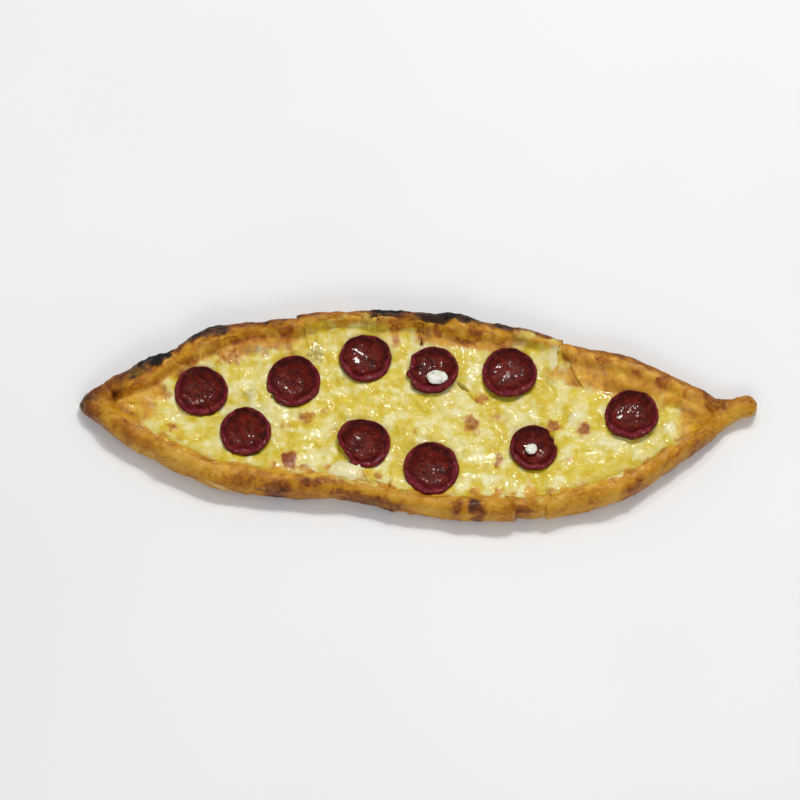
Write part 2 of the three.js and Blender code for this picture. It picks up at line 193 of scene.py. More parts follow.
def meet_neighbour(points, cut_walls, wall_gap, next_gap, closed):
    """Where a cut has closed again, push its wall and shoulder level past the middle of the gap."""
    push = np.zeros(points.shape)
    share = (1 - step(wall_gap, 0.5 * MM, 1.7 * MM)) * closed
    for i in np.flatnonzero(share > 0.01):
        normal = np.array(cut_walls.find_nearest(points[i])[1])
        push[i] = normal * [1, 1, 0] * share[i] * (min(next_gap[i], HEAL_BELOW) / 2 + OVERLAP)
    return push


print("cuts close below", round(HEAL_BELOW / MM, 1), "mm, stay open above", round(OPEN_ABOVE / MM, 1), "mm")


# %% [markdown]
# ## Random relief that repeats
# Baked dough and melted cheese are uneven at every size. A block of random numbers, read smoothly between
# its points, gives such unevenness at any chosen size. The block is seeded, so each run gives the same
# bread.

# %% Smooth random fields
CELLS = 48
# Added to every place, so that none is below zero
POSITIVE = 100
random_block = np.random.default_rng(11).uniform(-1, 1, (CELLS, CELLS, CELLS))
TURN = np.array(Matrix.Rotation(0.9, 3, (0.3, 0.5, 0.8)))


def uneven(points, size, shift=0.0):
    """Smooth random values, mostly within -1 to 1, whose hills are about `size` wide."""
    place = points @ TURN.T / size + 17.3 * shift + POSITIVE
    base = np.floor(place).astype(int)
    share = place - base
    share = share * share * (3 - 2 * share)
    total = np.zeros(len(points))
    for corner in itertools.product((0, 1), repeat=3):
        weight = np.prod(np.where(corner, share, 1 - share), axis=1)
        cell = (base + corner) % CELLS
        total += weight * random_block[cell[:, 0], cell[:, 1], cell[:, 2]]
    return total * 1.6


def rough(points, size, shift=0.0, layers=3):
    """Unevenness in layers, each half the size and half the height of the last."""
    return sum(uneven(points, size / 2**n, shift + n) / 2**n for n in range(layers)) / 1.6


def domes(points, spacing, share, shift=0.0):
    """Round bubbles about `spacing` apart, a random `share` of them raised: 0 at the foot, 1 on top."""
    place = points / spacing + 31.7 * shift + POSITIVE
    base = np.floor(place).astype(int)
    height = np.zeros(len(points))
    for corner in itertools.product((-1, 0, 1), repeat=3):
        cell = (base + corner) % CELLS
        draw = [random_block[(cell[:, 0] + k) % CELLS, cell[:, 1], cell[:, 2]] for k in (0, 7, 13, 23)]
        centre = base + corner + 0.5 + 0.42 * np.stack(draw[:3], axis=1)
        radius = 0.26 + 0.2 * np.abs(draw[0] * draw[1])
        inside = 1 - (np.linalg.norm(place - centre, axis=1) / radius) ** 2
        raised = (draw[3] * 0.5 + 0.5) < share
        height = np.maximum(height, np.where(raised, np.sqrt(np.clip(inside, 0, 1)), 0))
    return height


print("random block", random_block.shape, "first number", round(random_block[0, 0, 0], 3))

# %% [markdown]
# ## From a coarse solid to a fine one
# A CAD wedge has large flat facets. A voxel remesh covers it with small even faces, a smoothing takes the
# facets away, and then each point can move along its normal. Only the cut edges are held while smoothing,
# so that they stay as sharp as a cutter wheel leaves them.

# %% Remeshing and reading points
COARSE = 1
# Points this near a cut wall are smoothed by this share only
HELD_WITHIN = 0.9 * MM
HELD_SHARE = 0.25


def new_piece(shape, name):
    """Turn a finished bmesh into an object of the scene."""
    mesh = bpy.data.meshes.new(name)
    shape.to_mesh(mesh)
    shape.free()
    piece = bpy.data.objects.new(name, mesh)
    scene.collection.objects.link(piece)
    return piece


def keep_modifiers(piece):
    graph = bpy.context.evaluated_depsgraph_get()
    mesh = bpy.data.meshes.new_from_object(piece.evaluated_get(graph))
    piece.modifiers.clear()
    piece.data = mesh


def fine_copy(node, name, voxel, rounds, cut_walls):
    """A copy of a CAD node with small even faces, smoothed `rounds` times away from its cut walls."""
    shape = bmesh.new()
    shape.from_mesh(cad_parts[node].data)
    bmesh.ops.remove_doubles(shape, verts=shape.verts, dist=0.01 * MM)
    piece = new_piece(shape, name)
    remesh = piece.modifiers.new("even faces", "REMESH")
    remesh.mode = "VOXEL"
    remesh.voxel_size = voxel * COARSE
    keep_modifiers(piece)
    free = piece.vertex_groups.new(name="free")
    free.add(list(range(len(piece.data.vertices))), 1.0, "REPLACE")
    gap = distances([v.co for v in piece.data.vertices], cut_walls)
    for index in np.flatnonzero(gap < HELD_WITHIN):
        free.add([int(index)], HELD_SHARE, "REPLACE")
    smooth = piece.modifiers.new("no facets", "SMOOTH")
    smooth.factor = 0.5
    smooth.iterations = rounds
    smooth.vertex_group = "free"
    keep_modifiers(piece)
    piece.vertex_groups.clear()
    return piece


def read_points(piece):
    count = len(piece.data.vertices)
    points = np.empty(count * 3)
    normals = np.empty(count * 3)
    piece.data.vertices.foreach_get("co", points)
    piece.data.vertex_normals.foreach_get("vector", normals)
    return points.reshape(-1, 3), normals.reshape(-1, 3)


def write_points(piece, points):
    piece.data.vertices.foreach_set("co", points.ravel())
    piece.data.update()
    piece.data.shade_smooth()


def write_fields(piece, fields):
    """Keep each field on the points, under the name by which a material reads it."""
    for name, values in fields.items():
        layer = piece.data.attributes.new(name, "FLOAT", "POINT")
        layer.data.foreach_set("value", np.clip(values, 0, 1).astype(np.float32))


print("voxels are", "doubled for a quick look" if COARSE == 2 else "at full fineness")


# %% [markdown]
# ## The dough
# The rim is rolled by hand, so it swells and dips along its length. In the oven it blisters, browns on what
# stands highest, and chars where it faced the fire, here on the far side. It was brushed with butter, so it
# has a dull shine. Swelling and blisters are real relief. Browning is a field on the points that the
# material turns into colour: 0 is raw cream, about 0.45 golden, 0.8 dark brown, and char is a field of its
# own. The same field carries painted shade, darker in creases and in the tuck at the tip, and painted
# highlight, lighter in patches on the near rim.

# %% Places of browning on the rims
# Each mark: x along the bread, distance in from the long edge, its two radii, all in mm, and how dark it is
NEAR_BROWN = [
    (-162, 8, 8, 5, 0.25), (-153, 5, 9, 3, 0.3), (-100, 5, 7, 3, 0.2), (-79, 2.5, 7, 3, 0.3),
    (-60, 6, 6, 3, 0.35), (-31, 1.5, 16, 2, 0.4), (-45, 9, 9, 3, 0.22), (21, 4.5, 4, 3.5, 0.5),
    (32.3, 4.5, 4.4, 5.2, 0.62), (57, 5, 6, 4, 0.2), (88, 12, 6, 3, 0.35), (96, 6.5, 6, 4, 0.22),
    (120, 3, 7, 3, 0.25), (158, 4, 7, 4, 0.25), (142, 9, 6, 3, 0.3), (5, 11, 8, 3, 0.25),
]
# Lighter patches on the near rim: partly pale dough, partly painted highlight
NEAR_PALE_AND_HIGHLIGHT = [
    (-134, 7, 11, 5, 0.2), (-118, 8, 9, 4, 0.14), (-10, 7, 10, 4, 0.12), (45, 8, 7, 4, 0.15),
    (72, 5, 9, 4, 0.14), (110, 7, 8, 4, 0.12), (148, 6, 7, 4, 0.1),
]
FAR_BROWN = [
    (-163, 6, 8, 4, 0.25), (-151, 4.5, 11, 5, 0.5), (-154, 12.5, 12, 5, 0.4),
    (-122, 3.5, 13, 4.5, 0.42), (-109, 9, 6, 4, 0.4), (-96, 3, 18, 3, 0.36), (-84, 3.5, 4, 3, 0.45),
    (-60, 2.5, 10, 3, 0.2), (-14, 5, 12, 5, 0.3), (6, 4, 8, 5, 0.4), (45, 3, 14, 3.5, 0.4),
    (72, 3, 12, 3.5, 0.25), (108, 2.5, 26, 3, 0.28), (130, 8, 9, 4, 0.2), (105, 9, 7, 3, 0.16),
    (163, 5, 7, 5, 0.2),
]
FAR_CHAR = [
    (-153.5, 3, 5, 4, 1.0), (-144, 6, 7.5, 4.5, 1.0), (-119, 2, 9, 3, 0.6), (-84, 2.5, 3, 2, 0.4),
    (-18, 2.2, 11, 3.2, 0.8), (19, 2.6, 8, 4, 1.0), (28, 5, 6, 4, 0.6), (47, 1.6, 9, 2, 0.35),
]
CHAR_HALO = [
    (-150, 4, 12, 6, 0.7), (-118, 3, 14, 5, 0.6), (-14, 4, 18, 5, 0.7), (23, 6, 15, 6, 1.0),
    (48, 3, 14, 4, 0.5),
]
# The crease where the near rim tucks over the far one at the blunt tip, as points in mm seen from above
TIP_FOLD = [(-166, 8.5), (-169, 10), (-172.5, 13.5), (-176, 18.5)]
# Where the two rims meet beyond each end of the cheese, from the cheese outwards
VALLEYS = [[(-158, 6), (-163, 7.5), (-169, 9.5)], [(148, -1.5), (157, -0.5), (168, 1.2)]]
# How far in from the outer edge the cheese ends on each rim: x and that reach, in mm
FAR_COAT = [
    (-178, 30), (-165, 14), (-146, 13), (-136, 9.5), (-119, 10), (-100, 8), (-74, 7.5), (-66, 6.4),
    (-30, 6.4), (-18, 8), (-4, 7.5), (10, 9), (30, 9.5), (42, 7.5), (54, 6.2), (78, 6), (84, 7.5),
    (130, 7.5), (158, 8.5), (170, 30),
]
NEAR_COAT = [(-178, 30), (-160, 12), (-60, 9.5), (60, 9), (150, 9.5), (170, 30)]


def spot(points, x, y, rx, ry, edge=0.6):
    """1 inside an uneven oval at (x, y) in millimetres, falling to 0 softly round its edge."""
    away = np.hypot((points[:, 0] / MM - x) / rx, (points[:, 1] / MM - y) / ry)
    away += 0.3 * uneven(points, 0.6 * min(rx, ry) * MM, x * 0.01)
    return 1 - step(away, 1 - edge, 1 + edge)


def rim_marks(points, places, side):
    """The strongest of the marks of one rim at each point, 0 where there is none."""
    inward, half = rim_place(points)
    on_rim = np.column_stack([points[:, 0], inward, points[:, 2]])
    total = np.zeros(len(points))
    for x, depth, rx, ry, strength in places:
        near_it = (np.abs(points[:, 0] / MM - x) < 2 * rx) & (half == side)
        if near_it.any():
            total[near_it] = np.maximum(total[near_it], strength * spot(on_rim[near_it], x, depth, rx, ry))
    return total


def line_gap(points, line):
    """Distance seen from above to a line of points given in mm, and how far along it that place is."""
    gap = np.full(len(points), 1.0)
    share = np.zeros(len(points))
    for k, (start, end) in enumerate(zip(line, line[1:])):
        start = np.array(start) * MM
        span = np.array(end) * MM - start
        along = np.clip((points[:, :2] - start) @ span / (span @ span), 0, 1)
        away = np.linalg.norm(points[:, :2] - start - along[:, None] * span, axis=1)
        share = np.where(away < gap, (k + along) / (len(line) - 1), share)
        gap = np.minimum(gap, away)
    return gap, share


def film_reach(points, side):
    """How far in from the outer edge, in mm, the film of cheese ends on the rim of that side."""
    x = points[:, 0] / MM
    far, near = (np.interp(x, *zip(*places)) for places in (FAR_COAT, NEAR_COAT))
    return np.where(side > 0, far, near)


def pale_stretch(points):
    """1 where thick pale cheese reaches the far rim, 0 where only thin golden cheese does."""
    x = points[:, 0] / MM
    stretches = [(-66, -2), (54, 80)]
    return sum(step(x, start - 4, start + 4) * (1 - step(x, end - 3, end + 3)) for start, end in stretches)


rim_tables = (NEAR_BROWN, NEAR_PALE_AND_HIGHLIGHT, FAR_BROWN, FAR_CHAR, CHAR_HALO)
print("marks on the rims", sum(len(table) for table in rim_tables))


# %% Zones, folds and film of the dough
def dough_zones(points, normals, wall_gap):
    """Three shares: the cut faces, the underside, and the dough that lay open to the oven."""
    sideways = 1 - np.abs(normals[:, 2])
    cut = (1 - step(wall_gap, 0.25 * MM, 0.7 * MM)) * step(sideways, 0.5, 0.8)
    under = step(-normals[:, 2], 0.5, 0.9) * (1 - step(points[:, 2], 0.5 * MM, 2 * MM))
    under_cheese = step(normals[:, 2], 0.3, 0.8) * (1 - step(points[:, 2], 5 * MM, 7 * MM))
    return cut, under, (1 - cut) * (1 - under) * (1 - under_cheese)


def end_folds(points, above):
    """The tuck at the blunt tip, and the valleys where the two rims meet beyond the cheese."""
    gap, share = line_gap(points, TIP_FOLD)
    fold = np.exp(-((gap / (1.3 * MM)) ** 2)) * (1 - 0.8 * step(share, 0.3, 1.0)) * above
    valley = np.zeros(len(points))
    for line in VALLEYS:
        gap, share = line_gap(points, line)
        width = (4.6 - 3.8 * share) * MM
        hollow = (1 - step(gap, 0.4 * width, 1.2 * width)) * (1 - step(share, 0.85, 1.0))
        valley = np.maximum(valley, hollow * above)
    return fold, valley


def film_share(points, inward, side):
    """1 where a film of cheese was drawn up the rim, with an uneven edge."""
    reach = film_reach(points, side) * MM
    place = inward + 2.2 * MM * uneven(points, 6 * MM, 18) + 0.8 * MM * uneven(points, 2.2 * MM, 19)
    return step(place, reach - 2.6 * MM, reach + 1 * MM)


# %% Relief and browning of the dough
# Heights in mm, and shares of baking from 0 for raw to 1 for nearly black
FOLD_DEPTH = 2.2
VALLEY_DEPTH = 0.4
KNOB_SWELL = 0.7
GOLDEN_BAKE = 0.42
TIP_BAKE = 0.46


def dough_relief(points, zones, char, closed):
    """Height in mm to move each point out, and the bubbles, swell and creases for browning and painted
    shade.
    """
    cut, under, open_air = zones
    bubbles = domes(points, 9 * MM, 0.34, 1) * 0.55 + domes(points, 4.6 * MM, 0.3, 2) * 0.28
    swell = 0.95 * rough(points, 17 * MM, 3, 2) + 0.4 * rough(points, 5.5 * MM, 4, 2)
    skin = 0.1 * rough(points, 1.9 * MM, 5, 2)
    wrinkle = np.abs(uneven(points * [1, 1.9, 1.9], 6 * MM, 6))
    crease = 1 - step(wrinkle, 0.0, 0.16)
    crumb = 0.22 * rough(points, 1.6 * MM, 7, 2) - 0.1 - 0.45 * domes(points, 2.4 * MM, 0.35, 8)
    relief = (swell + bubbles + skin - 0.45 * crease) * open_air
    relief += cut * crumb * (1 - closed)
    relief += under * 0.12 * rough(points, 3 * MM, 9, 2)
    relief += char * (0.45 * rough(points, 2.6 * MM, 10, 2) + 0.5)
    return relief, bubbles, swell, crease


def browning_and_shading(points, side, under, bubbles, swell, crease, fold):
    """How far each place is baked, plus painted shade and highlight. The underside has floury brown
    oven-floor spots.
    """
    brown = rim_marks(points, NEAR_BROWN, -1) + rim_marks(points, FAR_BROWN, 1)
    bake_and_shading = GOLDEN_BAKE + 0.12 * uneven(points, 19 * MM, 12) + 0.06 * rough(points, 7 * MM, 13)
    bake_and_shading += 0.06 * (side > 0) + 0.08 * np.clip(bubbles, 0, 1) + 0.1 * np.clip(swell, -0.6, 0.8)
    # Painted highlight, partly pale dough: the near rim's pale patches lighten it
    bake_and_shading += 0.8 * brown - rim_marks(points, NEAR_PALE_AND_HIGHLIGHT, -1)
    # Painted shade: the tuck at the tip and the wrinkle creases are darkened as if baked more
    bake_and_shading += 0.35 * fold + 0.14 * crease + 0.45 * rim_marks(points, CHAR_HALO, 1)
    tip = 1 - step(points[:, 0], LEFT_END + 6 * MM, LEFT_END + 22 * MM)
    knob = step(points[:, 0], RIGHT_END - 26 * MM, RIGHT_END - 12 * MM)
    # The outer wall is made darker towards its bottom
    low_edge = (1 - step(points[:, 2], 1 * MM, 6 * MM)) * (1 - under)
    bake_and_shading += TIP_BAKE * tip + 0.02 * knob + 0.08 * low_edge
    oven_floor = 0.3 + 0.5 * step(rough(points, 7 * MM, 14, 4), 0.1, 0.8)
    return bake_and_shading * (1 - under) + oven_floor * under


# %% Bake one wedge of dough
DOUGH_VOXEL = 0.8 * MM
DOUGH_ROUNDS = 14


def bake_dough(k):
    node = f"crust_{k}"
    cut_walls = solid_tree([node], upright_only=True)
    piece = fine_copy(node, f"dough_{k}", DOUGH_VOXEL, DOUGH_ROUNDS, cut_walls)
    points, normals = read_points(piece)
    wall_gap = distances(points, cut_walls)
    next_gap = distances(points, other_wedges(k))
    closed = 1 - step(next_gap, HEAL_BELOW, OPEN_ABOVE)
    inward, side = rim_place(points)
    zones = dough_zones(points, normals, wall_gap)
    cut, under, open_air = zones
    above = step(points[:, 2], 6 * MM, 9 * MM) * open_air
    char = rim_marks(points, FAR_CHAR, 1) * open_air * step(points[:, 2], 2 * MM, 11 * MM)
    fold, valley = end_folds(points, above)
    coat = film_share(points, inward, side) * open_air
    knob_head = step(points[:, 0], RIGHT_END - 18 * MM, RIGHT_END - 9 * MM)

    relief, bubbles, swell, crease = dough_relief(points, zones, char, closed)
    relief += KNOB_SWELL * knob_head * above - FOLD_DEPTH * fold - VALLEY_DEPTH * valley
    relief += 0.35 * coat * (0.6 + uneven(points, 4 * MM, 20))
    push = meet_neighbour(points, cut_walls, wall_gap, next_gap, closed)
    points = points + normals * (relief * MM)[:, None] + push
    points[:, 2] = np.maximum(points[:, 2], 0)

    greasy = step(inward, 6 * MM, 12 * MM) * (0.5 + 0.5 * uneven(points, 8 * MM, 16))
    greasy += 0.35 * step(uneven(points, 9 * MM, 17), 0.2, 0.7)
    write_fields(piece, {
        "bake_and_shading": browning_and_shading(points, side, under, bubbles, swell, crease, fold),
        "char": char,
        "coat": np.maximum(coat, valley),
        "pale_coat": pale_stretch(points) * step(uneven(points, 7 * MM, 30), -0.9, 0.3),
        "cut": cut * (1 - closed),
        "flour": under * step(rough(points, 16 * MM, 15, 4), -0.9, 0.7),
        "grease": greasy * open_air,
    })
    write_points(piece, points)
    return piece


dough_pieces = [bake_dough(k) for k in WEDGES]
print("dough faces", sum(len(p.data.polygons) for p in dough_pieces))

# %% [markdown]
# ## The melted cheese
# Grated shreds soften, run together and set again as soft lumps, with a few flattened strands still to be
# seen. Yellow fat gathers in the hollows, and what stands highest toasts brown. Where there was little
# cheese, the dough shows through golden. Each strand is a low bent ridge here, and at each point the
# highest ridge wins. The same ridges tell the material where the hollows with oil are, so colour and shape
# agree.

# %% Shreds as low ridges
SHRED_COUNT = 1100
SHRED_LENGTH = (6, 14)
SHRED_WIDTH = (1.5, 3.0)
shred_draw = np.random.default_rng(5)
shred_x = shred_draw.uniform(LEFT_END, RIGHT_END, SHRED_COUNT)
shred_y = shred_draw.uniform(near_line.min(), far_line.max(), SHRED_COUNT)
shred_turn = shred_draw.uniform(0, math.pi, SHRED_COUNT)
shred_bend = shred_draw.uniform(-0.05, 0.05, SHRED_COUNT) / MM
shred_length = shred_draw.uniform(*SHRED_LENGTH, SHRED_COUNT) * MM
shred_width = shred_draw.uniform(*SHRED_WIDTH, SHRED_COUNT) * MM
shred_height = shred_draw.uniform(0.35, 1.0, SHRED_COUNT)


def shred_relief(points):
    """Height of the highest shred at each point, from 0 to 1."""
    height = np.zeros(len(points))
    low = points.min(axis=0) - 10 * MM
    high = points.max(axis=0) + 10 * MM
    inside = (shred_x > low[0]) & (shred_x < high[0]) & (shred_y > low[1]) & (shred_y < high[1])
    for i in np.flatnonzero(inside):
        dx = points[:, 0] - shred_x[i]
        dy = points[:, 1] - shred_y[i]
        close = dx * dx + dy * dy < (shred_length[i] * 0.9) ** 2
        if not close.any():
            continue
        along = dx[close] * math.cos(shred_turn[i]) + dy[close] * math.sin(shred_turn[i])
        across = dy[close] * math.cos(shred_turn[i]) - dx[close] * math.sin(shred_turn[i])
        across = across - shred_bend[i] * along**2
        ends = 1 - step(np.abs(along), 0.3 * shred_length[i], 0.55 * shred_length[i])
        ridge = shred_height[i] * ends * np.exp(-((across / shred_width[i]) ** 2))
        height[close] = np.maximum(height[close], ridge)
    return height


# %% Places of oil, toasting and thin cheese
# Each mark: x, y and its two radii in mm, and its strength
OIL = [
    (-27.8, 13.5, 9, 7, 1.0), (-18.8, 4.7, 5, 4, 0.9), (-12.1, 22, 6, 5, 1.0), (-3, 29.7, 4, 5, 0.7),
    (-73.8, -12.8, 6, 4, 0.9), (-12.1, -28.4, 5, 7, 0.9), (16, 7.2, 8, 5, 0.8),
    (96.3, 10.3, 6, 4.5, 1.0), (86.2, 9.1, 5, 6, 0.8), (91.8, -29.6, 7, 6, 0.9),
    (101, -28.4, 5, 6, 0.8), (32.8, -43, 5, 4, 0.7), (-90.7, 30.9, 6, 5, 0.7),
    (-137.8, 2.8, 5, 4, 0.7), (-114.2, -23.4, 7, 4, 0.6), (-82.2, -29.6, 5, 5, 0.9),
    (-41.3, 9.1, 7, 5, 0.7), (-38.5, 20, 6, 4, 0.5), (57, 8, 7, 5, 0.5), (54.2, -41, 6, 5, 0.5),
    (124, -22, 8, 4, 0.5), (-5, 8, 6, 8, 0.6), (-20, -8, 7, 4, 0.5), (100, 2, 5, 5, 0.4),
]
TOASTED = [
    (-72.1, -26.5, 4.8, 6.5, 1.0), (-62.6, -1.5, 5, 4, 0.75), (-73.8, -5.9, 4, 2, 0.6),
    (-13, 51, 7, 8, 0.75), (-53, 2.2, 2.2, 2, 0.6), (-2, -9.7, 2, 2.4, 0.5),
    (35.1, 10.3, 4.5, 4, 0.75), (29.5, -5.9, 5, 6, 0.75), (44.6, -1.5, 6, 4, 0.55),
    (75.4, -6.9, 4.5, 3.5, 0.85), (92.3, -9.4, 4.5, 5, 0.85), (44.1, -28.4, 2.6, 5, 0.75),
    (83.4, -27.1, 3.5, 3, 0.5), (60.9, -40, 3, 3, 0.45), (90.7, -41, 6, 3, 0.5),
    (-136.7, -7.2, 4, 2.6, 0.75), (-123.8, -22.1, 3.5, 2, 0.5), (-103, 37, 4, 3, 0.8),
    (-47.5, -8, 2.4, 5, 0.4), (-85, -36, 6, 2.5, 0.4), (36, 12, 3, 3, 0.5), (-150, 12, 7, 2.5, 0.35),
    (-113, 44, 9, 4, 0.9), (-106, 34, 8, 3, 0.7), (-92, 46, 6, 2.5, 0.6), (-123, 37, 5, 3, 0.6),
    (-66, 45, 5, 7, 0.4), (45, 44, 7, 4, 0.45), (20, 47, 6, 6, 0.6), (112, 27, 6, 3, 0.35),
    (128, 20, 5, 3, 0.3), (84, 34, 4, 4, 0.6),
]
SMOKY = [
    (-91, 40, 6, 2.6, 0.7), (-57.5, 39.5, 4, 5.5, 0.75), (-95, 12.5, 3.6, 3.2, 0.55),
    (73.8, 23, 3.4, 6, 0.45), (152, 2.5, 1.6, 1.4, 0.6), (-44, 22, 2, 2, 0.4),
    (-2.5, 47, 2.5, 3.5, 0.35),
]
THIN = [
    (96, 26, 17, 9, 1.0), (113, 20.5, 18, 8, 1.0), (131, 15.5, 15, 7, 0.9), (149, 8.5, 14, 6, 0.8),
    (-114, 40, 17, 6, 0.9), (-97, 43, 17, 6, 0.95), (-80, 45.5, 12, 5, 0.9), (-158, 6, 10, 8, 0.8),
    (-149, 14, 10, 5, 0.8), (48, 45, 32, 4, 0.6), (-10, 55, 14, 5, 0.7), (-66, 50, 9, 5, 0.5),
    (-83, -36, 12, 4, 0.6), (-55, -40, 18, 3.5, 0.7), (150, -8, 12, 5, 0.45),
    (-128, -24, 14, 3.5, 0.45), (-71, 34, 4, 12, 0.5), (24, 48, 10, 6, 0.75),
]
# White lumps of fresh cheese, raised and painted cream; the mark at x 88, y -1.5 is a painted highlight, a
# white patch where wet cheese shows a glint
FRESH_AND_GLINT = [
    (-40.5, -34, 9, 5.5, 1.0), (140.4, -7.5, 4, 3.5, 0.9), (76.2, 33.5, 4.5, 5.5, 0.9),
    (88, -1.5, 5, 4, 0.9), (41, -40, 6, 5, 0.7), (105, -17, 7, 5, 0.7), (-83, 14, 3, 3, 0.7),
    (-45, 47, 8, 4, 0.5), (-88, -2, 6, 4, 0.4), (33, -30, 9, 9, 0.4), (-122, -8, 10, 6, 0.3),
    (120, -24, 8, 4, 0.5), (-52, -22, 6, 5, 0.6), (66, 6, 8, 6, 0.4),
]


def marks(points, places):
    """The strongest of the marks in the cheese at each point, 0 where there is none."""
    total = np.zeros(len(points))
    for x, y, rx, ry, strength in places:
        close = (np.abs(points[:, 0] / MM - x) < 2 * rx) & (np.abs(points[:, 1] / MM - y) < 2 * ry)
        if close.any():
            total[close] = np.maximum(total[close], strength * spot(points[close], x, y, rx, ry))
    return total


print("marks on the cheese", sum(len(table) for table in (OIL, TOASTED, SMOKY, THIN, FRESH_AND_GLINT)))

# %% [markdown]
# ### A film of cheese up the rims
# Beside the rim the cheese has no edge of its own: it runs up the dough as a film and thins to nothing. Its
# border points are drawn outwards here and laid on the baked dough, whose height a ray from above finds. A
# rounded hollow joins the film to the cheese inside it.

# %% Where the film goes
FILM_BAND = 6 * MM
FILM_FILLET = 3.6 * MM
DOWN = Vector((0, 0, -1))
ABOVE_ALL = 60 * MM
LONGEST_PULL = 9 * MM
END_PULL = 7 * MM
# How far across the middle of each end lies
TIP_Y = 7.5 * MM
TAIL_Y = -0.5 * MM
SINK_AT_ENDS = 6 * MM
UNDER_DOUGH = 0.3 * MM
# Lowest place for cheese, inside the base of dough
CHEESE_FLOOR = 2.5 * MM


def coat_edge(points):
    """How far in from the outer edge a point lies, on which side, and where the film ends there."""
    inward, side = rim_place(points)
    return inward, side, (film_reach(points, side) + 1.4 * uneven(points, 7 * MM, 36)) * MM


def past_ends(points, left, right):
    """How far a point lies beyond x = left or right, given in mm, towards the end of the boat."""
    x = points[:, 0]
    return np.maximum(left * MM - x, x - right * MM)


def film_move(points, rim_gap, slice_gap):
    """How far the border of the cheese is drawn out over the rim, and into the two ends of the boat."""
    inward, side, edge = coat_edge(points)
    band = (1 - step(rim_gap, 0.2 * MM, FILM_BAND)) * step(points[:, 2], 5.5 * MM, 8 * MM)
    band *= 1 - step(inward - edge, 11 * MM, 16 * MM)
    move = np.zeros(points.shape)
    move[:, 1] = side * np.clip(inward - edge, 0, LONGEST_PULL) * band * step(slice_gap, 0.5 * MM, 5 * MM)
    left = step(-points[:, 0], 150 * MM, 164 * MM)
    right = step(points[:, 0], 146 * MM, 158 * MM)
    move[:, 0] += (right - left) * END_PULL
    move[:, 1] += (left * (TIP_Y - points[:, 1]) + right * (TAIL_Y - points[:, 1])) * 0.3
    return move


def film_height(points, rim_gap, move):
    """How high the film lies over the dough, below 0 where it has ended."""
    inward, side, edge = coat_edge(points + move)
    film = 0.85 * step(rim_gap, 0.1 * MM, 2.5 * MM) - 0.3
    film += 0.5 * rough(points, 8 * MM, 38, 2) * (side > 0)
    return (film - 1.4 * step(edge - inward, 0, 1.5 * MM)) * MM


# %% Lay the film on the dough
def soft_higher(first, second):
    """The higher of two heights, with a rounded hollow where they cross."""
    share = np.clip(0.5 + 0.5 * (second - first) / FILM_FILLET, 0, 1)
    return first + (second - first) * share + FILM_FILLET * share * (1 - share)


def height_at(tree, x, y):
    hit = tree.ray_cast(Vector((x, y, ABOVE_ALL)), DOWN)[0]
    return hit.z if hit else None


def dough_below(tree, start, move):
    """How much of a move stays over the dough, and the height of the dough there, if there is any."""
    for share in np.linspace(1, 0, 9):
        place = start + move * share
        height = height_at(tree, place[0], place[1])
        if height is not None:
            return share, height
    return 0.0, None


def draw_over_rim(points, top, rim_gap, slice_gap, dough):
    """Draw the border of the cheese out over the rim, as a film on the dough that thins to nothing."""
    tree = BVHTree.FromObject(dough, bpy.context.evaluated_depsgraph_get())
    move = film_move(points, rim_gap, slice_gap)
    film = film_height(points, rim_gap, move)
    past_end = past_ends(points, -157, 149) + 2 * MM * uneven(points, 6 * MM, 37)
    sink = SINK_AT_ENDS * step(past_end, 0, 11 * MM)
    for i in np.flatnonzero(np.hypot(move[:, 0], move[:, 1]) > 0.05 * MM):
        share, below = dough_below(tree, points[i], move[i])
        points[i] += move[i] * share
        if below is None:
            continue
        if top[i] > 0.3:
            points[i, 2] = soft_higher(points[i, 2], below + film[i]) - sink[i]
        else:
            points[i, 2] = min(points[i, 2], below - UNDER_DOUGH)
    points[:, 2] = np.maximum(points[:, 2], CHEESE_FLOOR)
    return points


# %% Relief and fields of the cheese
def cheese_relief(points, shreds, thin, fresh_and_glint, toasted):
    """Height in mm to move the top of the cheese: strands, lumps, bubbles, crisp spots and thin places."""
    lumps = 0.6 * rough(points, 11 * MM, 22, 2) + 0.2 * rough(points, 4 * MM, 23, 2)
    bubbles = 0.16 * domes(points, 3.4 * MM, 0.14, 25)
    crisp = 0.4 * toasted * (0.6 + uneven(points, 2.6 * MM, 24))
    full = 1 - 0.6 * thin
    return full * (0.45 * shreds + lumps + bubbles - 0.2) + 0.7 * fresh_and_glint + crisp - 0.3 * thin


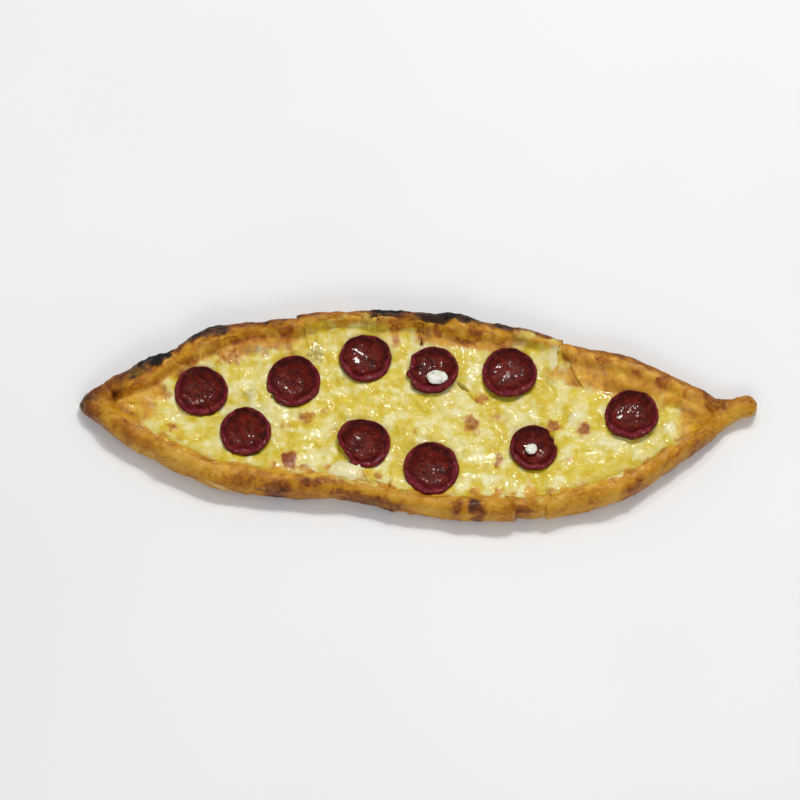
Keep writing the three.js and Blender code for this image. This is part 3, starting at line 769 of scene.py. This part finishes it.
def cheese_fields(points, rim_gap, top, shreds, thin, fresh_and_glint, toasted):
    """What each place is, under the names that the material reads."""
    hollow = 1 - step(shreds, 0.08, 0.5)
    pools = 0.5 * hollow * step(uneven(points, 10 * MM, 27), 0.0, 0.7)
    oil = np.maximum(marks(points, OIL) * (0.6 + 0.4 * hollow), pools)
    inward, side, edge = coat_edge(points)
    border = 1 - step(inward - edge, 0.5 * MM, 4 * MM)
    beside_rim = 1 - step(inward - edge, 7 * MM, 12 * MM)
    pale = pale_stretch(points)
    far_band = (1 - step(rim_gap, 3 * MM, FILM_BAND)) * beside_rim * (side > 0) * (1 - pale)
    toasted_band = 0.8 * far_band * step(uneven(points, 6 * MM, 39), -0.1, 0.7)
    ragged_gap = rim_gap * (1 + 0.6 * uneven(points, 5 * MM, 29))
    by_edge = np.maximum((1 - step(ragged_gap, 1.2 * MM, 4.2 * MM)) * beside_rim, far_band)
    thick_edge = 0.55 * pale * step(points[:, 1], 0, 10 * MM)
    by_end = step(past_ends(points, -148, 140), 0, 12 * MM)
    return {
        "oil": oil * (1 - 0.8 * fresh_and_glint) * (1 - by_edge),
        "toast": np.maximum(toasted, toasted_band * (1 - fresh_and_glint)) * top,
        "smoke": marks(points, SMOKY) * top,
        "thin": np.maximum.reduce([thin, (1 - thick_edge) * by_edge, by_end, border]),
        "fresh_and_glint": fresh_and_glint,
        "cream": step(rough(points, 7 * MM, 35, 3), -0.5, 0.5),
    }


# %% Melt one wedge of cheese
CHEESE_VOXEL = 0.65 * MM
CHEESE_ROUNDS = 8
# The rounded shoulder along a cut is this wide, and the cheese is level this far inside the cut
SHOULDER = 1.6 * MM
LEVEL_INSIDE = 1.8 * MM
slice_tree = solid_tree(SLICES)


def close_seams(points, piece, cut_walls, wall_gap, closed):
    """Bring the shoulder along a healed cut level with the cheese just inside it, and tell which points."""
    tree = BVHTree.FromObject(piece, bpy.context.evaluated_depsgraph_get())
    level = np.zeros(len(points), dtype=bool)
    for i in np.flatnonzero((wall_gap < SHOULDER) & (closed > 0.5)):
        normal = cut_walls.find_nearest(points[i])[1]
        inside = points[i] - np.array(normal) * LEVEL_INSIDE
        height = height_at(tree, inside[0], inside[1])
        if height is not None and height - SHOULDER < points[i, 2]:
            points[i, 2] = max(points[i, 2], height)
            level[i] = True
    return level


def melt_cheese(k):
    node = f"cheese_{k}"
    cut_walls = solid_tree([node], upright_only=True)
    piece = fine_copy(node, f"melted_cheese_{k}", CHEESE_VOXEL, CHEESE_ROUNDS, cut_walls)
    points, normals = read_points(piece)
    rim_gap = distances(points, solid_tree([f"crust_{k}"]))
    slice_gap = distances(points, slice_tree)
    wall_gap = distances(points, cut_walls)
    by_rim = 1 - step(rim_gap, 0.8 * MM, 1.5 * MM)
    by_slice = 1 - step(slice_gap, 0.6 * MM, 1.3 * MM)
    cut = (1 - step(wall_gap, 0.25 * MM, 0.7 * MM)) * (1 - np.maximum(by_rim, by_slice))
    next_gap = distances(points, other_wedges(k))
    closed = 1 - step(next_gap, HEAL_BELOW, OPEN_ABOVE)
    push = meet_neighbour(points, cut_walls, wall_gap, next_gap, closed)
    level = close_seams(points, piece, cut_walls, wall_gap, closed)
    normals[level] = (0, 0, 1)
    top = step(normals[:, 2], 0.2, 0.7)

    thin = marks(points, THIN)
    fresh_and_glint = marks(points, FRESH_AND_GLINT)
    toasted = marks(points, TOASTED)
    shreds = shred_relief(points)
    drips = 0.7 * step(uneven(points, 3.5 * MM, 21), -0.2, 0.6) - 0.1
    relief = top * cheese_relief(points, shreds, thin, fresh_and_glint, toasted) + cut * drips * (1 - closed)
    lap = 1.0 * by_slice + 1.3 * by_rim
    sideways = normals * [1, 1, 0]
    points = points + normals * (relief * MM)[:, None] + sideways * (lap * MM)[:, None] + push
    points = draw_over_rim(points, top, rim_gap, slice_gap, dough_pieces[k - 1])
    write_fields(piece, cheese_fields(points, rim_gap, top, shreds, thin, fresh_and_glint, toasted))
    write_points(piece, points)
    return piece


cheese_pieces = [melt_cheese(k) for k in WEDGES]
print("cheese faces", sum(len(p.data.polygons) for p in cheese_pieces))

# %% [markdown]
# ## The sausage slices
# A slice is a disc of minced meat in a skin. The skin shrinks in the heat, so the edge curls up into a
# thick rim and the middle becomes a shallow dish where red fat collects. A profile spun round its axis
# gives the form at once. Then the rim is made to wander, the meat gets its grain, and a few rims get the
# nicks of this bread.

# %% Profile and places
# Radius as a share of the slice, and height in mm above its seat
SLICE_PROFILE = [
    (0.0, 0.0), (0.3, 0.0), (0.62, 0.25), (0.86, 1.0), (0.965, 1.8), (1.0, 2.8), (1.0, 4.0),
    (0.99, 4.6), (0.965, 5.05), (0.93, 5.3), (0.89, 5.2), (0.85, 4.8), (0.81, 4.25), (0.76, 3.65),
    (0.7, 3.1), (0.64, 2.65), (0.56, 2.3), (0.44, 2.05), (0.22, 1.9), (0.0, 1.85),
]
PROFILE_POINTS = 56
SLICE_STEPS = 150
# The dish lies a little towards the far side, as a share of the radius
DISH_SHIFT = 0.055
# A fine slice stands this much above the lowest point of its solid
SEAT_LIFT = 0.6 * MM
# Where a rim is torn or pressed: turn in degrees, how far round it goes, how deep in mm
NICKS = {
    "sausage_3": [(215, 9, 1.4)],
    "sausage_5": [(212, 26, 3.2), (178, 8, 1.2)],
    "sausage_6": [(165, 16, 1.8), (205, 10, 1.4)],
    "sausage_9": [(35, 10, 1.2), (15, 8, 0.9)],
    "sausage_10": [(250, 12, 1.0)],
}


def slice_frame(nodes):
    """Centre, radius and turn of a slice, read from its CAD corners."""
    corners = np.vstack([cad_corners(node) for node in nodes])
    low = corners.min(axis=0)
    high = corners.max(axis=0)
    middle = (low + high) / 2
    from_middle = np.hypot(corners[:, 0] - middle[0], corners[:, 1] - middle[1])
    rim = corners[from_middle > 0.8 * (high[0] - low[0]) / 2]
    plane = np.linalg.svd(rim - rim.mean(axis=0))[2][2]
    plane = plane * np.sign(plane[2])
    centre = Vector((middle[0], middle[1], low[2] + SEAT_LIFT))
    turn = Vector((0, 0, 1)).rotation_difference(Vector(plane))
    return centre, (high[0] - low[0] + high[1] - low[1]) / 4, turn


print("profile of", len(SLICE_PROFILE), "points, nicked rims", len(NICKS))


# %% Spin a profile round its axis
def spin_disc(name, profile, radius, steps):
    shape = bmesh.new()
    share = np.linspace(0, len(profile) - 1, PROFILE_POINTS)
    reach = np.interp(share, range(len(profile)), [p[0] for p in profile]) * radius
    height = np.interp(share, range(len(profile)), [p[1] for p in profile]) * MM
    line = [shape.verts.new((r, 0, z)) for r, z in zip(reach, height)]
    edges = [shape.edges.new(pair) for pair in zip(line, line[1:])]
    bmesh.ops.spin(
        shape, geom=line + edges, axis=(0, 0, 1), cent=(0, 0, 0), angle=math.tau, steps=steps,
        use_merge=True)
    bmesh.ops.remove_doubles(shape, verts=shape.verts, dist=0.004 * MM)
    bmesh.ops.recalc_face_normals(shape, faces=shape.faces)
    return new_piece(shape, name)


def ring_places(angle, seed):
    """A place on a circle for each turn in degrees, so that what is uneven there closes on itself."""
    turn = np.radians(angle)
    return np.column_stack([np.cos(turn), np.sin(turn), np.full(len(angle), seed)])


def torn_depth(angle, nicks):
    """How deep in mm the rim is torn or pressed in at each turn."""
    torn = np.zeros(len(angle))
    for place, width, depth in nicks:
        away = np.abs((angle - place + 180) % 360 - 180) / width
        torn = np.maximum(torn, depth * np.exp(-(away**4)))
    return torn


# %% Curl and roughen one slice
def curl_slice(name, nodes, seed):
    centre, radius, turn = slice_frame(nodes)
    piece = spin_disc(name, SLICE_PROFILE, radius, SLICE_STEPS // COARSE)
    smooth = piece.modifiers.new("round profile", "SMOOTH")
    smooth.iterations = 3
    keep_modifiers(piece)
    points, normals = read_points(piece)
    angle = np.degrees(np.arctan2(points[:, 1], points[:, 0])) % 360
    reach = np.hypot(points[:, 0], points[:, 1]) / radius
    ring = ring_places(angle, seed)
    wander = uneven(ring, 0.8, seed)
    ripple = uneven(ring, 0.28, seed + 1)
    torn = torn_depth(angle, NICKS.get(nodes[0], []))
    outer = step(reach, 0.55, 0.95)
    off_seat = step(points[:, 2], 1.7 * MM, 2 * MM)
    lip_inside = step(reach, 0.4, 0.7) * (1 - step(reach, 0.84, 0.93)) * off_seat
    shrink = 1 + outer * (0.022 * wander + 0.006 * ripple - torn * MM / radius)
    shrink += lip_inside * (0.07 * uneven(ring, 0.45, seed + 5) + 0.012 * ripple)
    points[:, :2] *= shrink[:, None]
    points[:, 1] += DISH_SHIFT * radius * (1 - step(reach, 0.85, 0.95)) * off_seat
    high_rim = step(points[:, 2], 1 * MM, 4.5 * MM) * outer
    points[:, 2] += high_rim * (0.5 * wander + 0.12 * ripple - 0.5 * torn) * MM
    points[:, 2] += reach**2 * (0.45 * np.cos(2 * np.radians(angle) + seed)) * MM

    upper = step(normals[:, 2], -0.2, 0.4)
    dish = upper * (1 - step(reach + 0.04 * uneven(ring, 0.4, seed + 6), 0.64, 0.76))
    here = points + np.array([seed * 0.05, 0, 0])
    grain = 0.3 * rough(here, 4 * MM, 31, 3) * (1 - 0.3 * dish)
    grain += 0.14 * domes(here, 2.1 * MM, 0.16, 33) - 0.22 * domes(here, 3.0 * MM, 0.14, 32) * upper
    unrolled = np.column_stack([angle / 7, reach * 3, reach * 0])
    grain += 0.07 * uneven(unrolled, 1.0, seed + 2) * (1 - dish)
    # Painted highlight: the lip's paler colour lies only on faces turned up and reaches further in on the
    # near side
    lip_highlight_start = 0.78 + 0.05 * np.sin(np.radians(angle)) + 0.05 * ripple
    write_points(piece, points + normals * (grain * MM)[:, None])
    write_fields(piece, {
        "dish": dish,
        "fat": step(rough(here, 2.3 * MM, 34, 2), 0.35, 0.7),
        "lip_and_highlight": step(reach - lip_highlight_start, 0, 0.09) * step(normals[:, 2], -0.1, 0.35),
    })
    piece.data.transform(turn.to_matrix().to_4x4())
    piece.data.transform(Matrix.Translation(centre))
    return piece


HALVES = ["sausage_1_left", "sausage_1_right"]
slice_pieces = {}
for seed, node in enumerate([name for name in SLICES if name not in HALVES], start=2):
    slice_pieces[node] = curl_slice(node.replace("sausage", "slice"), [node], seed)
print("whole slices", len(slice_pieces))

# %% [markdown]
# ## The slice under the cutter
# One slice lay across a cut, and the wheel went through it. Both halves start as the same whole slice. A
# plane along the cut takes one side away and the rim of the hole is filled, and the left half is tipped up
# a little, as the wheel left it.

# %% Cut the first slice
CUT_DIRECTION = Vector((23, -50, 0)).normalized()
HALF_GAP = 0.2 * MM
HALVED_SEED = 9


def cut_half(name, side, lift, tip):
    """One half of the first slice: side -1 or 1 of the cut, lifted in mm and tipped in degrees."""
    piece = curl_slice(name, HALVES, HALVED_SEED)
    centre = slice_frame(HALVES)[0]
    across = Vector((-CUT_DIRECTION.y, CUT_DIRECTION.x, 0)) * side
    place = centre + across * HALF_GAP
    shape = bmesh.new()
    shape.from_mesh(piece.data)
    whole = shape.verts[:] + shape.edges[:] + shape.faces[:]
    cut = bmesh.ops.bisect_plane(
        shape, geom=whole, dist=0, plane_co=place, plane_no=across, clear_inner=True)
    rim = [part for part in cut["geom_cut"] if isinstance(part, bmesh.types.BMEdge)]
    bmesh.ops.holes_fill(shape, edges=rim, sides=0)
    bmesh.ops.recalc_face_normals(shape, faces=shape.faces)
    tilt = Matrix.Rotation(math.radians(tip) * side, 4, CUT_DIRECTION)
    bmesh.ops.transform(shape, verts=shape.verts, matrix=tilt, space=Matrix.Translation(-centre))
    bmesh.ops.translate(shape, verts=shape.verts, vec=(0, 0, lift * MM))
    shape.to_mesh(piece.data)
    shape.free()
    return piece


slice_pieces["sausage_1_left"] = cut_half("slice_1_left", -1, 0.4, -4)
slice_pieces["sausage_1_right"] = cut_half("slice_1_right", 1, 0.0, 2)
print("slices and halves", len(slice_pieces))

# %% [markdown]
# ## Drops of white cheese, one a painted highlight
# The first drop is white cheese that fell into the dish of a slice and set there, thick and glossy. The
# second is a painted highlight: a white drop like it, where the oil in another dish shows a glint. A ball
# pressed flat, with a wandering edge, has their shape.

# %% Shape the drops
def cheese_drop(node, seed):
    low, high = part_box(node)
    centre = (Vector(low) + Vector(high)) / 2
    size = Vector(high) - Vector(low)
    shape = bmesh.new()
    bmesh.ops.create_icosphere(shape, subdivisions=5, radius=0.5)
    bmesh.ops.scale(shape, verts=shape.verts, vec=(size.x, size.y, size.z * 1.15))
    bmesh.ops.translate(shape, verts=shape.verts, vec=centre)
    piece = new_piece(shape, node.replace("cheese", "fresh_cheese"))
    points, normals = read_points(piece)
    lump_and_glint = 0.4 * rough(points, 3.4 * MM, seed, 2) + 0.12 * rough(points, 1.1 * MM, seed + 1, 2)
    write_points(piece, points + normals * (lump_and_glint * MM)[:, None])
    none = np.zeros(len(points))
    write_fields(piece, {
        "oil": none, "toast": none, "thin": none, "fresh_and_glint": none, "cream": none + 1,
        "smoke": 0.5 * step(uneven(points, 2.4 * MM, seed + 2), 0.3, 0.8),
    })
    return piece


# The second drop is a painted highlight: a white drop where the oil of a slice's dish shows a glint
DROP_SEEDS = {"cheese_drop_1": 41, "cheese_drop_2": 42}
drop_pieces = {node: cheese_drop(node, seed) for node, seed in DROP_SEEDS.items()}
print("drops", len(drop_pieces))

# %% [markdown]
# ## Materials
# The fields on the points say what a place is, such as baked, charred, oily or toasted. A material turns
# them into colour, gloss and the finest relief. Small mottling is noise on Object coordinates, so it stays
# on the bread from any side.

# %% Short ways to add shader nodes
def linear(red, green, blue):
    """A colour as seen on a screen, 0 to 255, as the light values that shaders use."""
    channels = [c / 255 for c in (red, green, blue)]
    return tuple(c / 12.92 if c <= 0.04045 else ((c + 0.055) / 1.055) ** 2.4 for c in channels) + (1,)


def new_material(name):
    material = bpy.data.materials.new(name)
    material.use_nodes = True
    return material, material.node_tree, material.node_tree.nodes["Principled BSDF"]


def plug(tree, value, socket):
    if isinstance(value, bpy.types.NodeSocket):
        tree.links.new(value, socket)
    else:
        socket.default_value = value


def field(tree, name):
    node = tree.nodes.new("ShaderNodeAttribute")
    node.attribute_name = name
    return node.outputs["Fac"]


def speckle(tree, size, detail=3.0, roughness=0.55, shift=0.0):
    """Noise of that size in metres, from 0 to 1, on Object coordinates."""
    place = tree.nodes.new("ShaderNodeTexCoord")
    move = tree.nodes.new("ShaderNodeMapping")
    move.inputs["Location"].default_value = (shift, shift * 0.7, shift * 0.3)
    tree.links.new(place.outputs["Object"], move.inputs["Vector"])
    noise = tree.nodes.new("ShaderNodeTexNoise")
    noise.inputs["Scale"].default_value = 1 / size
    noise.inputs["Detail"].default_value = detail
    noise.inputs["Roughness"].default_value = roughness
    tree.links.new(move.outputs["Vector"], noise.inputs["Vector"])
    return noise.outputs["Fac"]


def calculate(tree, operation, first, second=0.0, clamp=False):
    node = tree.nodes.new("ShaderNodeMath")
    node.operation = operation
    node.use_clamp = clamp
    plug(tree, first, node.inputs[0])
    plug(tree, second, node.inputs[1])
    return node.outputs[0]


def scaled(tree, value, factor, offset=0.0):
    node = tree.nodes.new("ShaderNodeMath")
    node.operation = "MULTIPLY_ADD"
    plug(tree, value, node.inputs[0])
    node.inputs[1].default_value = factor
    node.inputs[2].default_value = offset
    return node.outputs[0]


def spread(tree, value, low, high, start=0.0, end=1.0):
    """value from low..high brought to start..end, with smooth ends."""
    node = tree.nodes.new("ShaderNodeMapRange")
    node.interpolation_type = "SMOOTHSTEP"
    plug(tree, value, node.inputs["Value"])
    for socket, number in (("From Min", low), ("From Max", high), ("To Min", start), ("To Max", end)):
        node.inputs[socket].default_value = number
    return node.outputs["Result"]


def ramp(tree, value, stops):
    node = tree.nodes.new("ShaderNodeValToRGB")
    plug(tree, value, node.inputs["Fac"])
    elements = node.color_ramp.elements
    while len(elements) < len(stops):
        elements.new(0.5)
    for element, (position, colour) in zip(elements, stops):
        element.position = position
        element.color = linear(*colour)
    return node.outputs["Color"]


def blend_colour(tree, share, first, second):
    node = tree.nodes.new("ShaderNodeMix")
    node.data_type = "RGBA"
    plug(tree, share, node.inputs[0])
    plug(tree, first, node.inputs[6])
    plug(tree, second, node.inputs[7])
    return node.outputs[2]


def bumped(tree, height, distance, below=None):
    node = tree.nodes.new("ShaderNodeBump")
    node.inputs["Distance"].default_value = distance
    node.inputs["Strength"].default_value = 1.0
    tree.links.new(height, node.inputs["Height"])
    if below:
        tree.links.new(below, node.inputs["Normal"])
    return node.outputs["Normal"]


# %% Short ways that the finishes share
def frayed(tree, name, grain, amount):
    """A field whose edge is broken up by grain, up or down by half the amount."""
    return calculate(tree, "ADD", field(tree, name), scaled(tree, grain, amount, -amount / 2))


def paint(tree, base, coat, share, strength=1.0):
    """Lay the coat's colour over the base's, as strongly as share says."""
    return blend_colour(tree, scaled(tree, share, strength), base, coat)


def set_numbers(surface, numbers):
    for socket, number in numbers.items():
        surface.inputs[socket].default_value = number


def add_relief(tree, surface, fine, coarse):
    """Two sizes of bump, each given as size, detail, roughness, shift and height."""
    normal = None
    for size, detail, roughness, shift, height in (fine, coarse):
        normal = bumped(tree, speckle(tree, size, detail, roughness, shift), height, normal)
    tree.links.new(normal, surface.inputs["Normal"])


def thin_gold(tree):
    """The gold of thin cheese on dough, the same on a rim and beside it."""
    return ramp(tree, speckle(tree, 7 * MM, 5, 0.55, 0.3), [
        (0.3, (148, 84, 10)), (0.48, (196, 132, 18)), (0.6, (216, 156, 34)), (0.75, (230, 190, 76))])


print("cream in light values", [round(c, 2) for c in linear(226, 212, 128)])

# %% [markdown]
# ### Baked dough
# The colour runs from cream through gold to dark brown with the bake field, which also carries painted
# shade in creases and painted highlight on the near rim, and noise of several sizes mottles it, as flour,
# butter and steam do. Char is nearly black and dull. A cut shows the pale crumb.

# %% Dough material
DOUGH_STOPS = [
    (0.0, (220, 186, 96)), (0.2, (205, 157, 54)), (0.4, (188, 132, 22)), (0.56, (166, 104, 10)),
    (0.72, (132, 72, 6)), (0.87, (88, 42, 6)), (1.0, (44, 24, 10)),
]
BUTTER = (208, 152, 28)
FLOUR = (226, 208, 176)


def dough_material():
    material, tree, surface = new_material("baked_dough")
    mottle = scaled(tree, speckle(tree, 7 * MM, 5, 0.6), 0.55, -0.275)
    fine = scaled(tree, speckle(tree, 1.6 * MM, 4, 0.6, 0.2), 0.26, -0.13)
    bake_and_shading = calculate(tree, "ADD", field(tree, "bake_and_shading"), calculate(tree, "ADD", mottle, fine), clamp=True)
    colour = ramp(tree, bake_and_shading, DOUGH_STOPS)
    butter = spread(tree, speckle(tree, 5 * MM, 3, 0.5, 0.4), 0.35, 0.65)
    butter = calculate(tree, "MULTIPLY", field(tree, "grease"), butter)
    colour = paint(tree, colour, linear(*BUTTER), butter, 0.55)
    pale = ramp(tree, speckle(tree, 5 * MM, 4, 0.55, 0.7), [
        (0.3, (198, 160, 54)), (0.5, (214, 190, 86)), (0.7, (226, 212, 128))])
    cheesy = paint(tree, thin_gold(tree), pale, field(tree, "pale_coat"))
    colour = paint(tree, colour, cheesy, field(tree, "coat"), 0.9)
    crumb = ramp(tree, speckle(tree, 2.2 * MM, 4, 0.7, 0.5), [
        (0.3, (180, 132, 64)), (0.5, (208, 166, 96)), (0.7, (226, 192, 132))])
    colour = paint(tree, colour, crumb, field(tree, "cut"))
    colour = paint(tree, colour, linear(*FLOUR), field(tree, "flour"), 0.5)
    soot = spread(tree, frayed(tree, "char", speckle(tree, 2.6 * MM, 4, 0.6, 0.9), 0.8), 0.3, 0.8)
    soot = calculate(tree, "MULTIPLY", soot, spread(tree, field(tree, "char"), 0.01, 0.12))
    black = ramp(tree, speckle(tree, 1.6 * MM, 3, 0.6, 1.3), [
        (0.35, (10, 8, 7)), (0.62, (28, 21, 16)), (0.8, (58, 42, 30))])
    tree.links.new(paint(tree, colour, black, soot), surface.inputs["Base Color"])
    gloss = spread(tree, speckle(tree, 3 * MM, 3, 0.6, 1.7), 0.3, 0.7, 0.38, 0.6)
    gloss = calculate(tree, "SUBTRACT", gloss, scaled(tree, field(tree, "coat"), 0.14))
    gloss = calculate(tree, "ADD", gloss, scaled(tree, soot, 0.35), clamp=True)
    tree.links.new(gloss, surface.inputs["Roughness"])
    set_numbers(surface, {
        "Specular IOR Level": 0.3, "Coat Weight": 0.1, "Coat Roughness": 0.2,
        "Subsurface Weight": 0.05, "Subsurface Scale": 0.003,
    })
    add_relief(tree, surface, (0.7 * MM, 4, 0.65, 2.1, 0.12 * MM), (2.4 * MM, 4, 0.6, 2.5, 0.3 * MM))
    return material


baked = dough_material()
print("dough nodes", len(baked.node_tree.nodes))

# %% [markdown]
# ### Melted cheese
# Pale, a little see-through and wet with fat. Oil makes it deep yellow and very smooth, toasting makes it
# brown, and thin cheese takes the gold of the dough under it. The drops have the same finish in whiter
# tones.

# %% Cheese material
CHEESE_STOPS = [
    (0.08, (206, 174, 24)), (0.25, (214, 190, 50)), (0.42, (218, 201, 96)),
    (0.62, (225, 213, 138)), (0.9, (240, 234, 186)),
]
# Whites of the drops; on the second drop they are a painted highlight
DROP_STOPS = [(0.3, (206, 202, 176)), (0.5, (226, 224, 206)), (0.7, (240, 240, 230))]
TOAST_STOPS = [(0.0, (216, 176, 66)), (0.4, (198, 138, 36)), (0.75, (178, 100, 12)), (1.0, (138, 66, 4))]
CREAM = (228, 222, 174)
SMOKE = (104, 94, 66)


def cheese_material(name, pale_stops):
    material, tree, surface = new_material(name)
    mottle = scaled(tree, speckle(tree, 4.5 * MM, 5, 0.62), 1.3, -0.23)
    tone = calculate(tree, "ADD", mottle, scaled(tree, field(tree, "cream"), 0.4, -0.2))
    colour = ramp(tree, tone, pale_stops)
    thin = spread(tree, frayed(tree, "thin", speckle(tree, 4 * MM, 4, 0.55, 0.9), 0.5), 0.1, 0.8)
    colour = paint(tree, colour, thin_gold(tree), thin, 0.92)
    # Cream lumps of fresh cheese, one of them a painted highlight for a glint on wet cheese
    lump_and_glint = spread(tree, frayed(tree, "fresh_and_glint", speckle(tree, 3 * MM, 3, 0.5, 1.9), 0.6), 0.25, 0.95)
    colour = paint(tree, colour, linear(*CREAM), lump_and_glint, 0.8)
    oily = spread(tree, frayed(tree, "oil", speckle(tree, 3 * MM, 3, 0.5, 0.6), 0.5), 0.15, 0.9)
    yellow = ramp(tree, speckle(tree, 4 * MM, 3, 0.5, 0.8), [(0.3, (204, 168, 14)), (0.7, (224, 202, 40))])
    colour = paint(tree, colour, yellow, oily, 0.85)
    scorch = spread(tree, frayed(tree, "toast", speckle(tree, 3 * MM, 4, 0.55, 1.1), 0.7), 0.05, 1.0)
    colour = paint(tree, colour, ramp(tree, scorch, TOAST_STOPS), scorch)
    smudge = spread(tree, speckle(tree, 3.4 * MM, 3, 0.5, 1.6), 0.2, 0.75)
    smoke = calculate(tree, "MULTIPLY", field(tree, "smoke"), smudge)
    tree.links.new(paint(tree, colour, linear(*SMOKE), smoke), surface.inputs["Base Color"])
    wet = spread(tree, speckle(tree, 2.2 * MM, 3, 0.6, 2.0), 0.35, 0.7, 0.28, 0.6)
    tree.links.new(wet, surface.inputs["Roughness"])
    set_numbers(surface, {
        "Specular IOR Level": 0.4, "Coat Weight": 0.2, "Coat Roughness": 0.06,
        "Subsurface Weight": 0.15, "Subsurface Radius": (1.0, 0.72, 0.3), "Subsurface Scale": 0.003,
    })
    add_relief(tree, surface, (0.9 * MM, 3, 0.6, 2.6, 0.1 * MM), (2.6 * MM, 3, 0.55, 3.1, 0.2 * MM))
    return material


melted = cheese_material("melted_cheese", CHEESE_STOPS)
drop_finish = cheese_material("fresh_cheese", DROP_STOPS)
print("cheese nodes", len(melted.node_tree.nodes))

# %% [markdown]
# ### Cured sausage
# Dark red meat with fine paler grains, brown-red where fat stands in the dish, and a wine-red dry lip. The
# lip's pink is partly painted highlight: it lies only on faces turned up and is broadest on the near side.
# The fat makes it the glossiest part of the bread.

# %% Sausage material
FAT = (132, 54, 24)


def sausage_material():
    material, tree, surface = new_material("cured_sausage")
    meat = ramp(tree, speckle(tree, 1.8 * MM, 5, 0.65), [
        (0.3, (40, 3, 4)), (0.5, (64, 7, 7)), (0.66, (88, 14, 12)), (0.8, (116, 36, 28))])
    pool = ramp(tree, speckle(tree, 4 * MM, 4, 0.55, 0.4), [
        (0.3, (54, 4, 1)), (0.52, (88, 11, 2)), (0.72, (114, 27, 6))])
    colour = paint(tree, meat, pool, field(tree, "dish"))
    # Wine-red skin, whose palest pink is a painted highlight for light on the top of the lip
    skin = ramp(tree, speckle(tree, 2.2 * MM, 5, 0.6, 0.8), [
        (0.35, (82, 10, 20)), (0.6, (124, 30, 42)), (0.8, (164, 74, 80))])
    colour = paint(tree, colour, skin, field(tree, "lip_and_highlight"), 0.85)
    colour = paint(tree, colour, linear(*FAT), field(tree, "fat"), 0.3)
    tree.links.new(colour, surface.inputs["Base Color"])
    gloss = spread(tree, speckle(tree, 2.6 * MM, 3, 0.5, 1.2), 0.3, 0.7, 0.3, 0.5)
    gloss = calculate(tree, "SUBTRACT", gloss, scaled(tree, field(tree, "dish"), 0.2))
    tree.links.new(gloss, surface.inputs["Roughness"])
    set_numbers(surface, {
        "Specular IOR Level": 0.08, "Coat Weight": 0.22, "Coat Roughness": 0.02,
        "Subsurface Weight": 0.04, "Subsurface Radius": (1.0, 0.25, 0.15), "Subsurface Scale": 0.002,
    })
    add_relief(tree, surface, (0.7 * MM, 3, 0.6, 1.6, 0.12 * MM), (2.0 * MM, 3, 0.5, 2.2, 0.36 * MM))
    return material


cured = sausage_material()
print("sausage nodes", len(cured.node_tree.nodes))

# %% [markdown]
# ## Dressing the pieces
# Each fine piece gets its material and takes the place of the solid that it was made from. The bread is one
# body, so every piece rides on its root.

# %% Dress the pieces
def dress(piece, material, node):
    piece.data.materials.clear()
    piece.data.materials.append(material)
    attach(piece, "root")
    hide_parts(node)


for k, (dough, cheese) in enumerate(zip(dough_pieces, cheese_pieces), start=1):
    dress(dough, baked, f"crust_{k}")
    dress(cheese, melted, f"cheese_{k}")
for node, piece in slice_pieces.items():
    dress(piece, cured, node)
for node, piece in drop_pieces.items():
    dress(piece, drop_finish, node)
print("pieces", len(dough_pieces) + len(cheese_pieces) + len(slice_pieces) + len(drop_pieces))

# %% [markdown]
# ## The floor
# A plain pale sheet with a faint unevenness of tone, so that the soft shadow has something to fall on.

# %% Floor
shape = bmesh.new()
bmesh.ops.create_grid(shape, x_segments=2, y_segments=2, size=4)
floor = new_piece(shape, "floor")
paper, paper_tree, paper_surface = new_material("pale_floor")
tone = ramp(paper_tree, speckle(paper_tree, 0.3, 2, 0.5), [(0.3, (236, 236, 235)), (0.7, (241, 241, 240))])
paper_tree.links.new(tone, paper_surface.inputs["Base Color"])
paper_surface.inputs["Roughness"].default_value = 0.6
floor.data.materials.append(paper)
